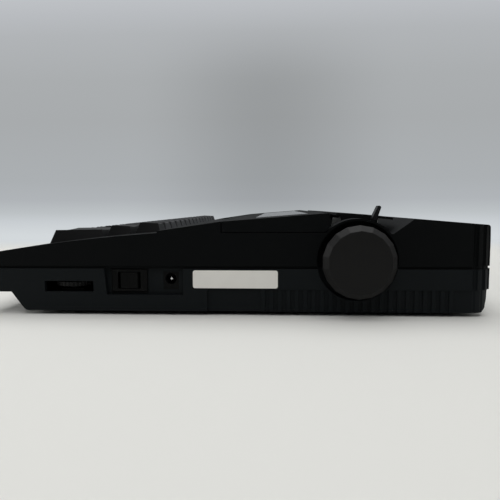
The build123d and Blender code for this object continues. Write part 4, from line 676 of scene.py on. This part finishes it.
class TYPEWRITER_OT_stage(bpy.types.Operator):
    """Adds the floor, the backdrop, the lamps and the camera"""
    bl_idname = "typewriter.stage"
    bl_label = "Stage"

    # The sweep, in metres: a floor that bends up into a wall on the far side
    FLOOR_MIDDLE = 0.2
    FLOOR_SIZE = (2.4, 5.0)
    WALL_HEIGHT = 2.6
    WALL_BEND = 0.35
    WALL_SIDE = -0.5        # corners beyond this belong to the wall's foot

    # Height on the wall in metres, and the painted grey there: a glow that stands in for how the
    # light falls on the wall
    PAINTED_WALL_LIGHT = (
        (0.0, "#d3d8db"), (0.03, "#c8cdd1"), (0.053, "#bcc1c4"), (0.0885, "#b0b4b8"),
        (0.147, "#abafb2"), (0.33, "#a8abad"), (0.45, "#aaadaf"), (0.58, "#b1b4b7"),
        (0.64, "#b8bbbf"), (0.695, "#bfc2c6"),
    )
    GREYS_TOP = 0.70        # height at the ramp's end
    # The pool is painted shade on the wall's glow, darker behind the machine
    PAINTED_SHADE = 0.2        # the wall is this much darker behind the machine
    POOL_REACH = 0.42       # on either side of the middle
    POOL_FADE = (0.40, 0.66)    # heights between which the pool ends
    # Between these the far floor also gives way to the glowing painted grey
    FAR = (-0.24, -0.52)    # between these the lit floor gives way to the wall's grey

    # Name, place, aim, width, the setting that holds the power, and the share of it
    LAMPS = (
        ("overhead_softbox", (-0.25, 0.05, 1.5), (0, 0, 0), 1.6, "lamp", 1.0),
        ("fill_softbox", (1.1, -0.1, 1.3), (0.15, 0, 0), 1.0, "fill", 1.0),
        ("left_window", (0.3, -1.2, 0.5), (0.17, 0, 0.05), 0.9, "side", 1.0),
        ("right_window", (0.3, 1.2, 0.5), (0.17, 0, 0.05), 0.9, "side", 0.5),
    )
    ROOM_COLOUR = "#c4c6ca"
    ROOM_STRENGTH = 0.05
    ROOM_SEEN = "#ccd0d3"

    CAMERA_PLACE = (0.45315, 0.02555, 0.0649)
    CAMERA_YAW, CAMERA_PITCH, CAMERA_ROLL = 0.05458, 0.08796, -0.00379

    def execute(self, context):
        size = context.scene.typewriter_stage
        self.sweep(size)
        self.lamps(size)
        self.room()
        self.camera(size)
        return {"FINISHED"}

    def sweep(self, size):
        deselect()
        bpy.ops.mesh.primitive_plane_add(size=1.0, location=(self.FLOOR_MIDDLE, 0, 0))
        floor = bpy.context.object
        floor.scale = (*self.FLOOR_SIZE, 1.0)
        settle(floor, "floor_sweep")
        select_parts(floor, "EDGE", lambda ends: all(c.x < self.WALL_SIDE for c in ends))
        bpy.ops.mesh.extrude_region_move(
            TRANSFORM_OT_translate={"value": (0, 0, self.WALL_HEIGHT)})
        select_parts(
            floor, "EDGE",
            lambda ends: all(c.x < self.WALL_SIDE and c.z < 0.01 for c in ends))
        bpy.ops.mesh.bevel(offset=self.WALL_BEND, segments=12, affect="EDGES")
        bpy.ops.object.mode_set(mode="OBJECT")
        bpy.ops.object.shade_smooth()
        paint(floor, self.sweep_material(size))

    def sweep_material(self, size):
        """Matt painted board. Near the machine it is lit and takes the shadow; far behind it
        the camera sees a glowing painted grey in place of the lit wall: painted light, palest at
        the foot and at the top, with painted shade behind the machine."""
        material = blank_material("sweep_paint")
        place = node(material, "ShaderNodeTexCoord")
        axes = node(material, "ShaderNodeSeparateXYZ", Vector=place.outputs["Object"])
        mottle = node(
            material, "ShaderNodeTexNoise", {"Scale": 1.5, "Detail": 3.0},
            Vector=place.outputs["Object"],
        )
        base = linear(size.floor)
        paper = node(
            material, "ShaderNodeMix",
            {"data_type": "RGBA", MIX_FROM: toned(base, 0.96), MIX_TO: base},
            _0=mottle.outputs["Fac"],
        )
        board = node(
            material, "ShaderNodeBsdfPrincipled", {"Roughness": 0.9, "Specular IOR Level": 0.2},
            Base_Color=paper.outputs[MIX_COLOUR],
        )
        height = node(
            material, "ShaderNodeMapRange", {"From Min": 0.0, "From Max": self.GREYS_TOP},
            Value=axes.outputs["Z"],
        )
        painted_light_ramp = node(material, "ShaderNodeValToRGB", Fac=height.outputs["Result"])
        stops = painted_light_ramp.color_ramp.elements
        while len(stops) < len(self.PAINTED_WALL_LIGHT):
            stops.new(0.5)
        for stop, (rise, colour) in zip(stops, self.PAINTED_WALL_LIGHT):
            stop.position = rise / self.GREYS_TOP
            stop.color = linear(colour)
        # The painted shade pool: strongest at the middle, gone at its reach and towards the top
        across = node(
            material, "ShaderNodeMath", {"operation": "ABSOLUTE"}, _0=axes.outputs["Y"],
        )
        shade = node(
            material, "ShaderNodeMapRange",
            {"From Min": 0.0, "From Max": self.POOL_REACH, "To Min": self.PAINTED_SHADE,
             "To Max": 0.0, "interpolation_type": "SMOOTHSTEP"},
            Value=across.outputs[0],
        )
        fade = node(
            material, "ShaderNodeMapRange",
            {"From Min": self.POOL_FADE[0], "From Max": self.POOL_FADE[1], "To Min": 1.0,
             "To Max": 0.0, "interpolation_type": "SMOOTHSTEP"},
            Value=axes.outputs["Z"],
        )
        pool = node(
            material, "ShaderNodeMath", {"operation": "MULTIPLY"},
            _0=shade.outputs["Result"], _1=fade.outputs["Result"],
        )
        dim = node(
            material, "ShaderNodeMath", {"operation": "SUBTRACT", 0: 1.0}, _1=pool.outputs[0],
        )
        # The wall glows with this painted grey, which stands in for the light on the wall; it is no
        # lamp
        wall = node(
            material, "ShaderNodeEmission",
            Color=painted_light_ramp.outputs["Color"], Strength=dim.outputs[0],
        )
        # Camera, mirrored and transmitted rays see the glowing painted grey; light meets the board
        ray = node(material, "ShaderNodeLightPath")
        seen = ray.outputs["Is Camera Ray"]
        for other in ("Is Glossy Ray", "Is Transmission Ray"):
            seen = node(
                material, "ShaderNodeMath", {"operation": "MAXIMUM"},
                _0=seen, _1=ray.outputs[other],
            ).outputs[0]
        far = node(
            material, "ShaderNodeMapRange",
            {"From Min": self.FAR[0], "From Max": self.FAR[1],
             "interpolation_type": "SMOOTHSTEP"},
            Value=axes.outputs["X"],
        )
        share = node(
            material, "ShaderNodeMath", {"operation": "MULTIPLY"},
            _0=seen, _1=far.outputs["Result"],
        )
        mixed = node(
            material, "ShaderNodeMixShader",
            _0=share.outputs[0], _1=board.outputs[0], _2=wall.outputs[0],
        )
        return finish_material(material, mixed)

    def lamps(self, size):
        for name, place, aim, width, setting, share in self.LAMPS:
            deselect()
            bpy.ops.object.light_add(type="AREA", location=place)
            lamp = bpy.context.object
            lamp.name = name
            lamp.data.shape = "SQUARE"
            lamp.data.size = width
            lamp.data.energy = getattr(size, setting) * share
            turn = (Vector(aim) - Vector(place)).to_track_quat("-Z", "Y")
            lamp.rotation_euler = turn.to_euler()

    def room(self):
        """Past the sweep, a dim room lights the machine and the camera sees it pale."""
        world = bpy.data.worlds.new("room")
        bpy.context.scene.world = world
        world.use_nodes = True
        world.node_tree.nodes.clear()
        dim = node(
            world, "ShaderNodeBackground",
            {"Color": linear(self.ROOM_COLOUR), "Strength": self.ROOM_STRENGTH},
        )
        pale = node(world, "ShaderNodeBackground", {"Color": linear(self.ROOM_SEEN)})
        ray = node(world, "ShaderNodeLightPath")
        mixed = node(
            world, "ShaderNodeMixShader",
            _0=ray.outputs["Is Camera Ray"], _1=dim.outputs[0], _2=pale.outputs[0],
        )
        node(world, "ShaderNodeOutputWorld", Surface=mixed.outputs[0])

    def camera(self, size):
        yaw, pitch, roll = self.CAMERA_YAW, self.CAMERA_PITCH, self.CAMERA_ROLL
        ahead = Vector((
            -math.cos(yaw) * math.cos(pitch), -math.sin(yaw) * math.cos(pitch), -math.sin(pitch),
        ))
        right = ahead.cross(Vector((0, 0, 1))).normalized()
        up = right.cross(ahead)
        right, up = (
            math.cos(roll) * right + math.sin(roll) * up,
            -math.sin(roll) * right + math.cos(roll) * up,
        )
        deselect()
        bpy.ops.object.camera_add(location=self.CAMERA_PLACE)
        camera = bpy.context.object
        camera.name = "photograph_camera"
        camera.rotation_euler = Matrix((right, up, -ahead)).transposed().to_euler()
        camera.data.sensor_width = 36.0
        camera.data.lens = size.lens
        camera.data.clip_start = 0.01
        bpy.context.scene.camera = camera
        bpy.context.scene.view_settings.view_transform = "Standard"


class TYPEWRITER_PT_panel(bpy.types.Panel):
    """Lists the typewriter's settings and its operators"""
    bl_label = "Typewriter"
    bl_idname = "TYPEWRITER_PT_panel"
    bl_space_type = "VIEW_3D"
    bl_region_type = "UI"
    bl_category = "Typewriter"

    def draw(self, context):
        for group in GROUPS:
            box = self.layout.box()
            settings = getattr(context.scene, group)
            for name in settings.__annotations__:
                box.prop(settings, name)
        for operator in OPERATORS:
            self.layout.operator(operator.bl_idname)


GROUPS = {
    "typewriter_finishes": TypewriterFinishes,
    "typewriter_label": TypewriterLabel,
    "typewriter_knob": TypewriterKnob,
    "typewriter_legends": TypewriterLegends,
    "typewriter_stage": TypewriterStage,
}
OPERATORS = (
    TYPEWRITER_OT_plastics,
    TYPEWRITER_OT_metals,
    TYPEWRITER_OT_rubbers,
    TYPEWRITER_OT_windows,
    TYPEWRITER_OT_label,
    TYPEWRITER_OT_knob,
    TYPEWRITER_OT_legends,
    TYPEWRITER_OT_stage,
)


def register():
    for group in GROUPS.values():
        bpy.utils.register_class(group)
    for name, group in GROUPS.items():
        setattr(bpy.types.Scene, name, bpy.props.PointerProperty(type=group))
    for operator in OPERATORS:
        bpy.utils.register_class(operator)
    bpy.utils.register_class(TYPEWRITER_PT_panel)


def unregister():
    bpy.utils.unregister_class(TYPEWRITER_PT_panel)
    for operator in reversed(OPERATORS):
        bpy.utils.unregister_class(operator)
    for name, group in GROUPS.items():
        delattr(bpy.types.Scene, name)
        bpy.utils.unregister_class(group)


def main():
    register()
    bpy.ops.typewriter.plastics()
    bpy.ops.typewriter.metals()
    bpy.ops.typewriter.rubbers()
    bpy.ops.typewriter.windows()
    bpy.ops.typewriter.label()
    bpy.ops.typewriter.knob()
    bpy.ops.typewriter.legends()
    bpy.ops.typewriter.stage()


if __name__ == "__main__":
    main()
